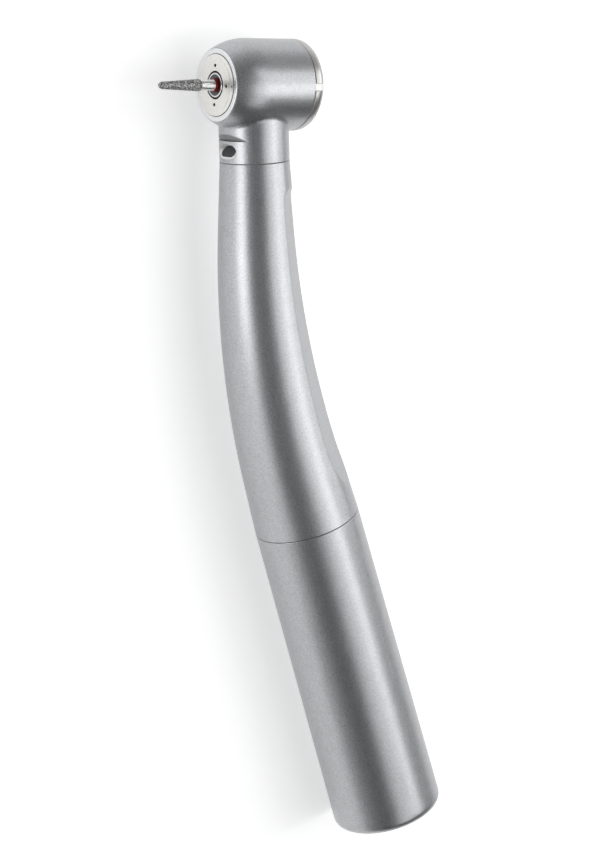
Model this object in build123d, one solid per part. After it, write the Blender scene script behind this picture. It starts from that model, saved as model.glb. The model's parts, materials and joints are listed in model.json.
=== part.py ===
"""Dental high speed handpiece (air turbine), modelled piece by piece in millimetres.

The handpiece lies on its side. The origin is the centre of the coupling mouth, +X runs out of
the mouth along the straight tail, the body bends towards +Y, the bur points towards -Y and +Z
is up. The XY plane is the plane of symmetry of the body.

Distances along the body are measured forwards from the mouth on the body's centre line, which is
straight, then an arc, then straight. Parts of the head are drawn upright, with local Z along the
bur and 0 where the bur's axis crosses the centre line, and are then placed as one.
"""
import os
from math import cos, pi, radians, sin, sqrt

from build123d import *

# ---------------------------------------------------------------- centre line and outer body
SEAM_PAST_SOCKET = 9.0      # end of the coupling socket to the seam of sleeve and shell
BEND_PAST_SEAM = 8.2        # that seam to the start of the bend
BEND_RADIUS = 122.4         # radius of the bend
BEND_ANGLE = 16.2           # degrees turned by the bend
FRONT_LENGTH = 20.8         # end of the bend to the bur's axis
NECK_LENGTH = 10.6          # seam of shell and head to the bur's axis
HEAD_ANGLE = 85.9           # degrees between the neck and the bur
REAR_LIP = 0.8              # rear sleeve's lip behind the mouth
SLEEVE_FLARE = 0.42         # how much wider the sleeve's rear end is than its front end
NECK_RADIUS = 4.9           # where body shell and head meet
SWELL = 0.11                # barrel shape of the shell's taper
SEAM_GAP = 0.06             # hairline between neighbouring casings
REAR_ROUND = 1.25           # rounding of the rear lip
STATION_STEP = 6.0          # spacing of the shell's lofted sections

# ---------------------------------------------------------------- grip flats on the shell
FLAT_TURN = 43.0            # degrees from straight up towards the inside of the bend
FLAT_DEPTH = 0.7
FLAT_PAST_SEAM = 4.5        # seam of sleeve and shell to the rear tip
FLAT_TO_NECK = 3.6          # front tip to the seam of shell and head
FLAT_REAR_RAMP = 6.0        # length over which the rear end fades out
FLAT_FRONT_RAMP = 1.8       # length over which the front end fades out
FLAT_STEPS = 12             # straight stretches along a flat
RAMP_STEPS = 3              # straight stretches of a fading end

# ---------------------------------------------------------------- casings' insides
SHELL_WALL = 0.9
SPIGOT_STEP = 0.7           # neck's outside to the head's spigot in the shell
SPIGOT_LENGTH = 8.0
SPIGOT_CLEAR = 0.03
NECK_SEAL_IN = 2.0          # neck seal from the spigot's rear end
SLEEVE_WALL = 0.68          # rear sleeve's wall at its front end
COUNTERBORE_STEP = 0.3      # sleeve's bore to the counterbore for the shell's tenon
TENON_LENGTH = 5.5
TENON_CLEAR = 0.05
TENON_WALL = 0.95
SEAL_SECTION = 0.3          # radius of the casing seals' section
GROOVE_SIDE = 0.05          # room beside a seal in its groove

# ---------------------------------------------------------------- coupling socket
SOCKET_CLEAR = 0.03
SOCKET_WALL = 1.07
COUPLING_RADIUS = 5.5       # quick coupling bore
COUPLING_DEPTH = 34.0
LOCK_GROOVE_AT = 9.0
LOCK_GROOVE_WIDTH = 1.6
LOCK_GROOVE_DEPTH = 0.4
SOCKET_END_WALL = 4.0
SOCKET_FLANGE = 1.2
LOCK_RING_WIDTH = 1.2
DISTRIBUTOR_LENGTH = 5.0
DISTRIBUTOR_CLEAR = 0.04

# ---------------------------------------------------------------- pipes along the body
DRIVE_AIR_RADIUS = 1.3      # outside of the drive air pipe
DRIVE_AIR_WALL = 0.2
DRIVE_AIR_TURN = 65.0       # degrees from the inside of the bend towards the side
JET_RADIUS = 0.7            # nozzle that blows on the impeller
EXHAUST_RADIUS = 0.8
SPRAY_RADIUS = 0.6          # outside of the spray pipes
SPRAY_WALL = 0.15
SPRAY_TURN = 118.0          # degrees, in the same way
LIGHT_RADIUS = 0.9          # glass rod
LIGHT_DEPTH = 0.38          # further from the neck's surface than the pipes
LIGHT_TO_WINDOW = 0.9       # end of the glass rod to the centre of the window
BUNDLE_CLEAR = 0.15         # pipes to the groove of the neck's seal
PIPE_CLEAR = 0.02           # soldering gap round a pipe
PIPE_SINK = 2.0             # how far the pipes reach past the neck's seam
PIPE_SEAT = 1.5             # bottom of the pipes' seats from the distributor's rear face
PORT_SEAL_SECTION = 0.2     # radius of a port seal's section

# ---------------------------------------------------------------- light window in the neck
WINDOW_PAST_NECK = 1.7      # seam of shell and head to the centre of the glass
WINDOW_SINK = 0.7           # centre of the glass below the neck's surface
WINDOW_ANGLE = 58.0         # degrees between the window's axis and the neck
WINDOW_WIDTH = 3.2
WINDOW_HEIGHT = 1.7
WINDOW_END_FLAT = 0.1       # straight stretch at each end of the window
WINDOW_CLEAR = 0.02
SCOOP_PAST_NECK = 3.17      # seam of shell and head to the shoulder above the window
SCOOP_LENGTH = 1.0
SCOOP_DEPTH = 0.35
SCOOP_CENTRE = 1.5          # how far the scoop's axis lies behind the centre line

# ---------------------------------------------------------------- head casing
BARREL_WALL = 1.2           # round the back cap's thread
BARREL_TAPER = 0.1          # how much narrower the barrel is at the back cap
NOSE_FACE = 6.16            # nose face from the centre line
FLARE_FROM = 1.25           # where the barrel starts to close in
FLARE_RADIUS = 9.0
CAP_PAST_NECK = 1.4         # neck's side to the joint of barrel and back cap
NECK_FILLET = 0.6
CHAMBER_CLEAR = 0.35        # round the impeller
CHAMBER_TOP = 2.3           # front wall of the turbine chamber
THREAD_STEP = 0.7           # turbine chamber to the back cap's thread
CAP_THREAD_END = -2.1
NOSE_THROAT = 2.1           # opening between front bearing and nose plate
NOSE_EDGE = 0.12            # bevel of the nose's outer edge
SPRAY_DRILL = 0.3           # radius of the drillings from the neck to the nose plate

# ---------------------------------------------------------------- nose plate
PLATE_RADIUS = 4.35
PLATE_PROUD = 0.2
PLATE_SEAT = 5.5            # bottom of the plate's counterbore
PLATE_RIM_RADIUS = 3.7      # where the plate's rim steps down
PLATE_RIM_STEP = 0.06
PLATE_RIM_SLOPE = 0.06
PLATE_OPENING = 1.95
PLATE_FIT = 0.01
SPRAY_HOLE_RADIUS = 0.2
SPRAY_HOLE_CIRCLE = 2.7
SPRAY_HOLES = 4
GALLERY_INSIDE = 2.4
GALLERY_OUTSIDE = 3.9
GALLERY_DEPTH = 0.25
GALLERY_FEED = 3.6          # where the drillings meet the gallery
DIMPLE_RADIUS = 0.15
DIMPLE_AT = 3.97
DIMPLE_DEPTH = 0.2

# ---------------------------------------------------------------- turbine cartridge
BEARING_OUT = 3.175
BEARING_BORE = 1.5875
BEARING_WIDTH = 2.38
FRONT_BEARING_AT = 2.6      # rear face of the front bearing
REAR_BEARING_AT = -4.6      # rear face of the rear bearing
BEARING_LAND_IN = 2.08      # inner ring's outside
BEARING_LAND_OUT = 2.68     # outer ring's inside
BALL_RADIUS = 0.5
BALL_COUNT = 7
BALL_CLEAR = 0.02
CAGE_CLEAR = 0.05
CAGE_LENGTH = 1.5
BEARING_SEAT_CLEAR = 0.075
O_RING_SECTION = 0.35
WASHER_THICKNESS = 0.12
SPINDLE_TAIL = -5.0
SPINDLE_SINK = 0.02         # spindle's nose below the plate's face
COLLAR_STEP = 0.1125        # spindle's collar in front of the bearing
SPINDLE_BORE = 1.25
NOSE_CONE_RADIUS = 1.5
RED_RING_RADIUS = 0.97
RED_RING_SINK = 0.12
RED_RING_LENGTH = 1.0
RED_RING_CONE = 0.5         # ring's cone in front of its rim
RED_RING_EDGE = 0.06        # thickness of the cone's front edge
CHUCK_TAIL = -2.8
CHUCK_SLOTS = 3
CHUCK_SLOT_WIDTH = 0.25
CHUCK_SLOT_LENGTH = 4.0
IMPELLER_RADIUS = 4.25
IMPELLER_HUB = 2.3
IMPELLER_FROM = -1.6
IMPELLER_TO = 1.9
IMPELLER_WEB = 0.5
IMPELLER_WEB_RADIUS = 3.3
BLADE_COUNT = 12
BLADE_THICKNESS = 0.35
SPACER_RADIUS = 2.0         # hub ends that touch the bearings' inner rings

# ---------------------------------------------------------------- back cap and push button
CAP_PROUD = 0.02            # cap's outside beyond the barrel's
CAP_END = -8.2
CAP_ROUND = 1.3
CAP_SKIRT_CLEAR = 0.05
CAP_FLOOR_CLEAR = 0.22      # cap's floor round the rear bearing's inner ring
CAP_LIP = 1.0               # thickness of the lip that holds the button
CAP_LIP_REACH = 0.7         # how far the lip reaches over the button's flange
BUTTON_CHAMBER_WALL = 1.0
BUTTON_CHAMBER_FLOOR = -5.2
BUTTON_CLEAR = 0.1
BUTTON_FLANGE = 0.5
BUTTON_PROUD = 0.4
BUTTON_DOME_RADIUS = 20.0
PLUNGER_GAP = 0.3           # free travel before the button meets the plunger
PLUNGER_RADIUS = 1.15
PLUNGER_HEAD = -5.3
PLUNGER_TIP = -4.4
BOSS_RADIUS = 0.9
BUTTON_SPRING_RADIUS = 3.4  # middle of the spring's coils
BUTTON_SPRING_WIRE = 0.16
BUTTON_SPRING_TURNS = 2.0
NOTCH_COUNT = 2             # key notches in the cap's rim
NOTCH_WIDTH = 1.0
NOTCH_DEPTH = 0.35

# ---------------------------------------------------------------- bur
BUR_SHANK_RADIUS = 0.8
BUR_TAIL = -3.7
BUR_TAIL_CHAMFER = 0.2
BUR_NECK_FROM = 6.8         # where the shank steps down to its neck
BUR_NECK_STEP = 0.1
BUR_NECK_TO = 8.9
BUR_NECK_RADIUS = 0.74
BUR_BASE_RADIUS = 0.88
BUR_TIP_RADIUS = 0.54
BUR_TIP = 15.65
CHUCK_CLEAR = 0.02


# ---------------------------------------------------------------- the centre line
SOCKET_END = COUPLING_DEPTH + SOCKET_END_WALL
SEAM_AT = SOCKET_END + SEAM_PAST_SOCKET
BEND_START = SEAM_AT + BEND_PAST_SEAM
BEND = radians(BEND_ANGLE)
BEND_END = BEND_START + BEND_RADIUS * BEND
HEAD_AT = BEND_END + FRONT_LENGTH
NECK_AT = HEAD_AT - NECK_LENGTH

# ---------------------------------------------------------------- casings' radii
SLEEVE_BORE = COUPLING_RADIUS + SOCKET_WALL + SOCKET_CLEAR
SLEEVE_COUNTERBORE = SLEEVE_BORE + COUNTERBORE_STEP
TENON_RADIUS = SLEEVE_COUNTERBORE - TENON_CLEAR
TENON_BORE = TENON_RADIUS - TENON_WALL
SEAM_RADIUS = SLEEVE_COUNTERBORE + SLEEVE_WALL
REAR_RADIUS = SEAM_RADIUS + SLEEVE_FLARE


def turn_at(along):
    """Angle in radians that the centre line has turned at a distance from the mouth."""
    return min(max((along - BEND_START) / BEND_RADIUS, 0.0), BEND)


def inward_at(along):
    """Direction towards the inside of the bend."""
    return Vector(sin(turn_at(along)), cos(turn_at(along)), 0)


def forward_at(along):
    """Direction of the centre line towards the head."""
    return Vector(-cos(turn_at(along)), sin(turn_at(along)), 0)


def point_at(along, inward=0.0, side=0.0):
    """A point beside the centre line: inward in the bend's plane, side along Z."""
    turn = turn_at(along)
    before = min(along, BEND_START)
    after = max(along - BEND_END, 0.0)
    x = -before - BEND_RADIUS * sin(turn) - after * cos(turn)
    y = BEND_RADIUS * (1 - cos(turn)) + after * sin(turn)
    return Vector(x, y, side) + inward_at(along) * inward


def section_at(along, inward=0.0, side=0.0):
    """A plane square to the centre line, with local X inward and local Z towards the head."""
    return Plane(point_at(along, inward, side), x_dir=inward_at(along), z_dir=forward_at(along))


def outer_radius(along):
    """Outside radius of the sleeve and of the shell."""
    if along <= SEAM_AT:
        share = (along + REAR_LIP) / (SEAM_AT + REAR_LIP)
        return REAR_RADIUS + (SEAM_RADIUS - REAR_RADIUS) * share
    share = (along - SEAM_AT) / (NECK_AT - SEAM_AT)
    return SEAM_RADIUS + (NECK_RADIUS - SEAM_RADIUS) * share + SWELL * 4 * share * (1 - share)


def steps(start, end, count):
    """Evenly spaced values from start to end."""
    return [start + (end - start) * i / count for i in range(count + 1)]


def rod_along(start, end, radius, inward=0.0, side=0.0):
    """A round rod that follows the centre line at a fixed offset."""
    corners = [start] + [at for at in (BEND_START, BEND_END) if start < at < end] + [end]
    edges = []
    for first, last in zip(corners, corners[1:]):
        a = point_at(first, inward, side)
        b = point_at(last, inward, side)
        if BEND_START <= first < BEND_END:
            middle = point_at((first + last) / 2, inward, side)
            edges.append(ThreePointArc(a, middle, b))
        else:
            edges.append(Line(a, b))
    return sweep(section_at(start, inward, side) * Circle(radius), path=Wire(edges))


def pipe_along(start, end, radius, wall, inward=0.0, side=0.0):
    """A pipe that follows the centre line at a fixed offset."""
    outside = rod_along(start, end, radius, inward, side)
    return outside - rod_along(start, end, radius - wall, inward, side)


def straight_rod(start, end, radius, inward=0.0, side=0.0):
    """A rod along a straight stretch of the centre line."""
    return extrude(section_at(start, inward, side) * Circle(radius), end - start)


def turned(*corners):
    """A body of revolution about local Z, from its half section as (radius, height) corners."""
    return revolve(Plane.XZ * make_face(Polyline(*corners, close=True)), Axis.Z)


def ring(outside, inside, low, high):
    """A plain ring about local Z."""
    return turned((inside, low), (outside, low), (outside, high), (inside, high))


# ---------------------------------------------------------------- the head's frame
NECK_LINE = forward_at(HEAD_AT)
BUR_TURN = radians(180 - BEND_ANGLE + HEAD_ANGLE)
BUR_LINE = Vector(cos(BUR_TURN), sin(BUR_TURN), 0)
HEAD_CENTRE = point_at(HEAD_AT)
HEAD_PLANE = Plane(HEAD_CENTRE, x_dir=BUR_LINE.cross(Vector(0, 0, -1)), z_dir=BUR_LINE)
HEAD = HEAD_PLANE.location

PIECES = {}


def keep(name, shape):
    """Put a finished piece on the list of pieces to write."""
    PIECES[name] = shape


def at_section(along, shape):
    """Place a shape drawn about local Z on the centre line, facing the head."""
    return section_at(along).location * shape


def seal(middle, section):
    """An O-ring about local Z."""
    return Torus(middle, section)


# ---------------------------------------------------------------- rear sleeve
SLEEVE_SHOULDER = SOCKET_END - SOCKET_FLANGE
TENON_START = SEAM_AT - TENON_LENGTH


def rear_sleeve():
    """Turned grip sleeve with a rounded rear lip, open at both ends."""
    end = SEAM_AT - SEAM_GAP
    length = REAR_LIP + end
    outside = turned((0, 0), (outer_radius(-REAR_LIP), 0), (outer_radius(end), length), (0, length))
    outside = fillet(outside.edges().filter_by(GeomType.CIRCLE).sort_by(Axis.Z)[0], REAR_ROUND)
    body = at_section(-REAR_LIP, outside)
    body -= straight_rod(-REAR_LIP, SEAM_AT, SLEEVE_BORE)
    return body - straight_rod(SLEEVE_SHOULDER, SEAM_AT, SLEEVE_COUNTERBORE)


keep("rear_sleeve", rear_sleeve())


# ---------------------------------------------------------------- body shell
SEAL_MIDDLE = SLEEVE_COUNTERBORE - SEAL_SECTION
SLEEVE_SEAL_AT = (TENON_START + SEAM_AT) / 2
SPIGOT_RADIUS = NECK_RADIUS - SPIGOT_STEP
SPIGOT_START = NECK_AT - SPIGOT_LENGTH
NECK_SEAL_AT = SPIGOT_START + NECK_SEAL_IN
NECK_SEAL_MIDDLE = SPIGOT_RADIUS + SPIGOT_CLEAR - SEAL_SECTION
FLAT_FROM = SEAM_AT + FLAT_PAST_SEAM
FLAT_TO = NECK_AT - FLAT_TO_NECK


def seal_groove(outside, middle, section):
    """Cutter for the groove that holds an O-ring."""
    half = section + GROOVE_SIDE
    return ring(outside, middle - section, -half, half)


def grip_flat(side):
    """Cutter for one long grip flat that fades out at both ends."""
    turn = radians(FLAT_TURN)
    rear_end = FLAT_FROM + FLAT_REAR_RAMP
    front_end = FLAT_TO - FLAT_FRONT_RAMP
    rear = [(at, (at - FLAT_FROM) / FLAT_REAR_RAMP) for at in steps(FLAT_FROM, rear_end, RAMP_STEPS)]
    middle = [(at, 1.0) for at in steps(rear_end, front_end, FLAT_STEPS)[1:-1]]
    front = [(at, (FLAT_TO - at) / FLAT_FRONT_RAMP) for at in steps(front_end, FLAT_TO, RAMP_STEPS)]
    faces = []
    for at, share in rear + middle + front:
        out = inward_at(at) * sin(turn) + Vector(0, 0, side * cos(turn))
        floor = outer_radius(at) - FLAT_DEPTH * sin(share * pi / 2)
        place = Plane(point_at(at) + out * (floor + SEAM_RADIUS / 2), x_dir=out, z_dir=forward_at(at))
        faces.append(place * Rectangle(SEAM_RADIUS, 2 * SEAM_RADIUS))
    return loft(faces, ruled=True)


def body_shell():
    """Curved, tapering front casing with its rear tenon and two grip flats."""
    count = round((NECK_AT - SEAM_AT) / STATION_STEP)
    outside = loft([at_section(at, Circle(outer_radius(at))) for at in steps(SEAM_AT, NECK_AT, count)])
    rooms = steps(SEAM_AT + SHELL_WALL, SPIGOT_START, count)
    inside = loft([at_section(at, Circle(outer_radius(at) - SHELL_WALL)) for at in rooms])
    body = outside + straight_rod(TENON_START, SEAM_AT + SHELL_WALL, TENON_RADIUS)
    for side in (1, -1):
        body -= grip_flat(side)
    body -= inside
    body -= straight_rod(TENON_START, SEAM_AT + SHELL_WALL, TENON_BORE)
    body -= straight_rod(SPIGOT_START, NECK_AT, SPIGOT_RADIUS + SPIGOT_CLEAR)
    return body - at_section(SLEEVE_SEAL_AT, seal_groove(SLEEVE_COUNTERBORE, SEAL_MIDDLE, SEAL_SECTION))


keep("body_shell", body_shell())
keep("sleeve_seal", at_section(SLEEVE_SEAL_AT, seal(SEAL_MIDDLE, SEAL_SECTION)))


# ---------------------------------------------------------------- pipes and light guide
DRIVE_AIR_BORE = DRIVE_AIR_RADIUS - DRIVE_AIR_WALL
SPRAY_BORE = SPRAY_RADIUS - SPRAY_WALL
PIPE_START = SOCKET_END + PIPE_SEAT
PIPE_END = NECK_AT + PIPE_SINK
BUNDLE_RADIUS = NECK_SEAL_MIDDLE - SEAL_SECTION - BUNDLE_CLEAR


def in_bundle(radius, turn):
    """Place of a pipe inside the bundle's circle, as its offsets inward and sideways."""
    middle = BUNDLE_RADIUS - radius
    return (middle * cos(radians(turn)), middle * sin(radians(turn)))


DRIVE_AIR = in_bundle(DRIVE_AIR_RADIUS, DRIVE_AIR_TURN)
EXHAUST = in_bundle(DRIVE_AIR_RADIUS, -DRIVE_AIR_TURN)
SPRAY_AIR = in_bundle(SPRAY_RADIUS, SPRAY_TURN)
SPRAY_WATER = in_bundle(SPRAY_RADIUS, -SPRAY_TURN)
LIGHT_OFFSET = LIGHT_RADIUS + LIGHT_DEPTH - BUNDLE_RADIUS
LIGHT = (LIGHT_OFFSET, 0.0)

WINDOW_AT = NECK_AT + WINDOW_PAST_NECK
LIGHT_END = WINDOW_AT - LIGHT_TO_WINDOW
WINDOW_OUT = NECK_RADIUS - WINDOW_SINK
WINDOW_TURN = radians(WINDOW_ANGLE)
WINDOW_CORNER = (WINDOW_HEIGHT - WINDOW_END_FLAT) / 2
WINDOW_LINE = NECK_LINE * cos(WINDOW_TURN) - inward_at(WINDOW_AT) * sin(WINDOW_TURN)
WINDOW_PLANE = Plane(point_at(WINDOW_AT, -WINDOW_OUT), x_dir=Vector(0, 0, 1), z_dir=WINDOW_LINE)
WINDOW_LENGTH = (WINDOW_OUT + LIGHT_OFFSET + LIGHT_RADIUS) / sin(WINDOW_TURN)


def window_block(grow, outwards):
    """The window's block: from the glass rod out to its face, and further by outwards."""
    face = RectangleRounded(WINDOW_WIDTH + 2 * grow, WINDOW_HEIGHT + 2 * grow, WINDOW_CORNER + grow)
    start = Plane(WINDOW_PLANE.origin - WINDOW_LINE * (WINDOW_LENGTH + grow),
                  x_dir=WINDOW_PLANE.x_dir, z_dir=WINDOW_LINE)
    return extrude(start * face, WINDOW_LENGTH + grow + outwards)


keep("drive_air_pipe", pipe_along(PIPE_START, PIPE_END, DRIVE_AIR_RADIUS, DRIVE_AIR_WALL, *DRIVE_AIR))
keep("spray_air_pipe", pipe_along(PIPE_START, PIPE_END, SPRAY_RADIUS, SPRAY_WALL, *SPRAY_AIR))
keep("spray_water_pipe", pipe_along(PIPE_START, PIPE_END, SPRAY_RADIUS, SPRAY_WALL, *SPRAY_WATER))
keep("light_guide", rod_along(COUPLING_DEPTH, LIGHT_END, LIGHT_RADIUS, *LIGHT) - window_block(0, 0))
keep("light_window", window_block(0, 0))


# ---------------------------------------------------------------- coupling socket and distributor
def port_cuts(start, end, drive, spray, exhaust, light):
    """Straight drillings for the five lines between two faces of a block."""
    cuts = straight_rod(start, end, drive, *DRIVE_AIR)
    cuts += straight_rod(start, end, exhaust, *EXHAUST)
    cuts += straight_rod(start, end, light, *LIGHT)
    for place in (SPRAY_AIR, SPRAY_WATER):
        cuts += straight_rod(start, end, spray, *place)
    return cuts


def coupling_socket():
    """Socket for the quick coupling: a grooved bore, an end wall with ports and a flange."""
    body = straight_rod(0, SOCKET_END, SLEEVE_BORE - SOCKET_CLEAR)
    body += straight_rod(SLEEVE_SHOULDER, SOCKET_END, SLEEVE_COUNTERBORE - SOCKET_CLEAR)
    body -= straight_rod(0, COUPLING_DEPTH, COUPLING_RADIUS)
    half = LOCK_GROOVE_WIDTH / 2
    groove = ring(COUPLING_RADIUS + LOCK_GROOVE_DEPTH, COUPLING_RADIUS / 2, -half, half)
    body -= at_section(LOCK_GROOVE_AT, groove)
    light = LIGHT_RADIUS + PIPE_CLEAR
    return body - port_cuts(COUPLING_DEPTH, SOCKET_END, DRIVE_AIR_BORE, SPRAY_BORE, EXHAUST_RADIUS, light)


def distributor():
    """Disc that joins the socket's ports to the pipes."""
    end = SOCKET_END + DISTRIBUTOR_LENGTH
    light = LIGHT_RADIUS + PIPE_CLEAR
    body = straight_rod(SOCKET_END, end, TENON_BORE - DISTRIBUTOR_CLEAR)
    body -= port_cuts(SOCKET_END, end, DRIVE_AIR_BORE, SPRAY_BORE, EXHAUST_RADIUS, light)
    body -= port_cuts(PIPE_START, end, DRIVE_AIR_RADIUS + PIPE_CLEAR, SPRAY_RADIUS + PIPE_CLEAR,
                      EXHAUST_RADIUS, light)
    for middle, place in PORT_SEALS:
        groove = seal_groove(middle + PORT_SEAL_SECTION, middle, PORT_SEAL_SECTION)
        body -= section_at(SOCKET_END + PORT_SEAL_SECTION, *place).location * groove
    return body


def port_seals():
    """Small O-rings in the distributor's rear face."""
    rings = [section_at(SOCKET_END + PORT_SEAL_SECTION, *place).location * seal(middle, PORT_SEAL_SECTION)
             for middle, place in PORT_SEALS]
    return Compound(children=rings)


PORT_SEALS = [(DRIVE_AIR_BORE + 2 * PORT_SEAL_SECTION, DRIVE_AIR)]
PORT_SEALS += [(SPRAY_BORE + 2 * PORT_SEAL_SECTION, place) for place in (SPRAY_AIR, SPRAY_WATER)]
keep("coupling_socket", coupling_socket())
keep("distributor", distributor())
keep("port_seals", port_seals())
LOCK_RING = ring(SLEEVE_COUNTERBORE - SOCKET_CLEAR, TENON_BORE, 0, LOCK_RING_WIDTH)
keep("socket_lock_ring", at_section(SOCKET_END, LOCK_RING))


# ---------------------------------------------------------------- head housing
CHAMBER_RADIUS = IMPELLER_RADIUS + CHAMBER_CLEAR
CAP_THREAD_RADIUS = CHAMBER_RADIUS + THREAD_STEP
BARREL_RADIUS = CAP_THREAD_RADIUS + BARREL_WALL
SEAM_BARREL_RADIUS = BARREL_RADIUS - BARREL_TAPER
CAP_SEAM = -NECK_RADIUS - CAP_PAST_NECK
BEARING_SEAT = BEARING_OUT + BEARING_SEAT_CLEAR
SCOOP_AT = NECK_AT + SCOOP_PAST_NECK
FRONT_BEARING_END = FRONT_BEARING_AT + BEARING_WIDTH
REAR_BEARING_END = REAR_BEARING_AT + BEARING_WIDTH
SEAT_END = FRONT_BEARING_END + WASHER_THICKNESS
O_RING_MIDDLE = BEARING_OUT + O_RING_SECTION
FLARE_DROP = FLARE_RADIUS - sqrt(FLARE_RADIUS ** 2 - (NOSE_FACE - FLARE_FROM) ** 2)
NOSE_RADIUS = BARREL_RADIUS - FLARE_DROP


def flare_radius(height):
    """Outside radius of the barrel where it closes in towards the nose."""
    return BARREL_RADIUS - FLARE_RADIUS + sqrt(FLARE_RADIUS ** 2 - (height - FLARE_FROM) ** 2)


def barrel():
    """Outside of the head, drawn upright."""
    bevel_at = NOSE_FACE - NOSE_EDGE
    middle = (FLARE_FROM + bevel_at) / 2
    outline = Polyline((0, CAP_SEAM), (SEAM_BARREL_RADIUS, CAP_SEAM), (BARREL_RADIUS, FLARE_FROM))
    outline += ThreePointArc((BARREL_RADIUS, FLARE_FROM), (flare_radius(middle), middle),
                             (flare_radius(bevel_at), bevel_at))
    outline += Polyline((flare_radius(bevel_at), bevel_at), (NOSE_RADIUS - NOSE_EDGE, NOSE_FACE),
                        (0, NOSE_FACE), (0, CAP_SEAM))
    return revolve(Plane.XZ * make_face(outline), Axis.Z)


def scoop():
    """Cutter for the crescent above the window: a ring with an offset, conical inside."""
    inside = SCOOP_CENTRE + NECK_RADIUS - SCOOP_DEPTH
    wide = 2 * NECK_RADIUS
    tool = turned((inside, 0), (wide, 0), (wide, SCOOP_LENGTH), (inside + SCOOP_DEPTH, SCOOP_LENGTH))
    return section_at(SCOOP_AT, SCOOP_CENTRE).location * tool


def spray_drilling(side):
    """Drilling from a spray pipe's end to the gallery behind the nose plate."""
    inward, sideways = SPRAY_AIR
    start = point_at(PIPE_END, inward, side * sideways)
    feed_side = sideways * GALLERY_FEED / (CHAMBER_RADIUS + SPRAY_RADIUS)
    feed_out = sqrt(GALLERY_FEED ** 2 - feed_side ** 2)
    end = HEAD_PLANE.from_local_coords(Vector(feed_out, side * feed_side, PLATE_SEAT))
    line = end - start
    return extrude(Plane(start, z_dir=line) * Circle(SPRAY_DRILL), line.length)


def head_housing():
    """Barrel and neck in one piece, hollow for the turbine, with bores for pipes and light."""
    drum = HEAD * barrel()
    neck = straight_rod(NECK_AT + SEAM_GAP, HEAD_AT, NECK_RADIUS)
    body = drum + neck
    body = fillet(new_edges(drum, neck, combined=body), NECK_FILLET)
    body += straight_rod(SPIGOT_START, NECK_AT + 2 * SEAM_GAP, SPIGOT_RADIUS)
    inside = turned((0, CAP_SEAM), (CAP_THREAD_RADIUS, CAP_SEAM), (CAP_THREAD_RADIUS, CAP_THREAD_END),
                    (CHAMBER_RADIUS, CAP_THREAD_END), (CHAMBER_RADIUS, CHAMBER_TOP),
                    (BEARING_SEAT, CHAMBER_TOP), (BEARING_SEAT, SEAT_END), (NOSE_THROAT, SEAT_END),
                    (NOSE_THROAT, PLATE_SEAT), (PLATE_RADIUS + PLATE_FIT, PLATE_SEAT),
                    (PLATE_RADIUS + PLATE_FIT, NOSE_FACE), (0, NOSE_FACE))
    inside += Pos(0, 0, FRONT_BEARING_AT + BEARING_WIDTH / 2) * seal_groove(
        O_RING_MIDDLE + O_RING_SECTION, O_RING_MIDDLE, O_RING_SECTION)
    body -= HEAD * inside
    body -= straight_rod(SPIGOT_START, PIPE_END, DRIVE_AIR_RADIUS + PIPE_CLEAR, *DRIVE_AIR)
    body -= straight_rod(PIPE_END, HEAD_AT - CHAMBER_RADIUS / 2, JET_RADIUS, *DRIVE_AIR)
    body -= straight_rod(SPIGOT_START, HEAD_AT - CHAMBER_RADIUS / 2, EXHAUST_RADIUS, *EXHAUST)
    body -= straight_rod(SPIGOT_START, LIGHT_END, LIGHT_RADIUS + PIPE_CLEAR, *LIGHT)
    for side, place in ((1, SPRAY_AIR), (-1, SPRAY_WATER)):
        body -= straight_rod(SPIGOT_START, PIPE_END, SPRAY_RADIUS + PIPE_CLEAR, *place)
        body -= spray_drilling(side)
    body -= window_block(WINDOW_CLEAR, NECK_RADIUS)
    body -= scoop()
    groove = seal_groove(SPIGOT_RADIUS + SPIGOT_CLEAR, NECK_SEAL_MIDDLE, SEAL_SECTION)
    return body - at_section(NECK_SEAL_AT, groove)


keep("head_housing", head_housing())
keep("neck_seal", at_section(NECK_SEAL_AT, seal(NECK_SEAL_MIDDLE, SEAL_SECTION)))


# ---------------------------------------------------------------- nose plate
def nose_plate():
    """Pressed-in spray plate with its gallery, spray holes and locating dimple."""
    top = NOSE_FACE + PLATE_PROUD
    rim = top - PLATE_RIM_STEP
    body = turned((PLATE_OPENING, PLATE_SEAT), (PLATE_RADIUS, PLATE_SEAT),
                  (PLATE_RADIUS, rim - PLATE_RIM_SLOPE), (PLATE_RIM_RADIUS, rim),
                  (PLATE_RIM_RADIUS, top), (PLATE_OPENING, top))
    body -= ring(GALLERY_OUTSIDE, GALLERY_INSIDE, PLATE_SEAT, PLATE_SEAT + GALLERY_DEPTH)
    thick = top - PLATE_SEAT
    hole = Pos(0, 0, PLATE_SEAT + thick / 2) * Cylinder(SPRAY_HOLE_RADIUS, thick)
    for place in PolarLocations(SPRAY_HOLE_CIRCLE, SPRAY_HOLES):
        body -= place * hole
    return body - Pos(0, DIMPLE_AT, rim) * Cylinder(DIMPLE_RADIUS, 2 * DIMPLE_DEPTH)


keep("nose_plate", HEAD * nose_plate())


# ---------------------------------------------------------------- ball bearings
BALL_CIRCLE = (BEARING_LAND_IN + BEARING_LAND_OUT) / 2
RACE = Torus(BALL_CIRCLE, BALL_RADIUS + BALL_CLEAR)
BALLS = [place * Sphere(BALL_RADIUS) for place in PolarLocations(BALL_CIRCLE, BALL_COUNT)]
HALF_WIDTH = BEARING_WIDTH / 2


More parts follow.
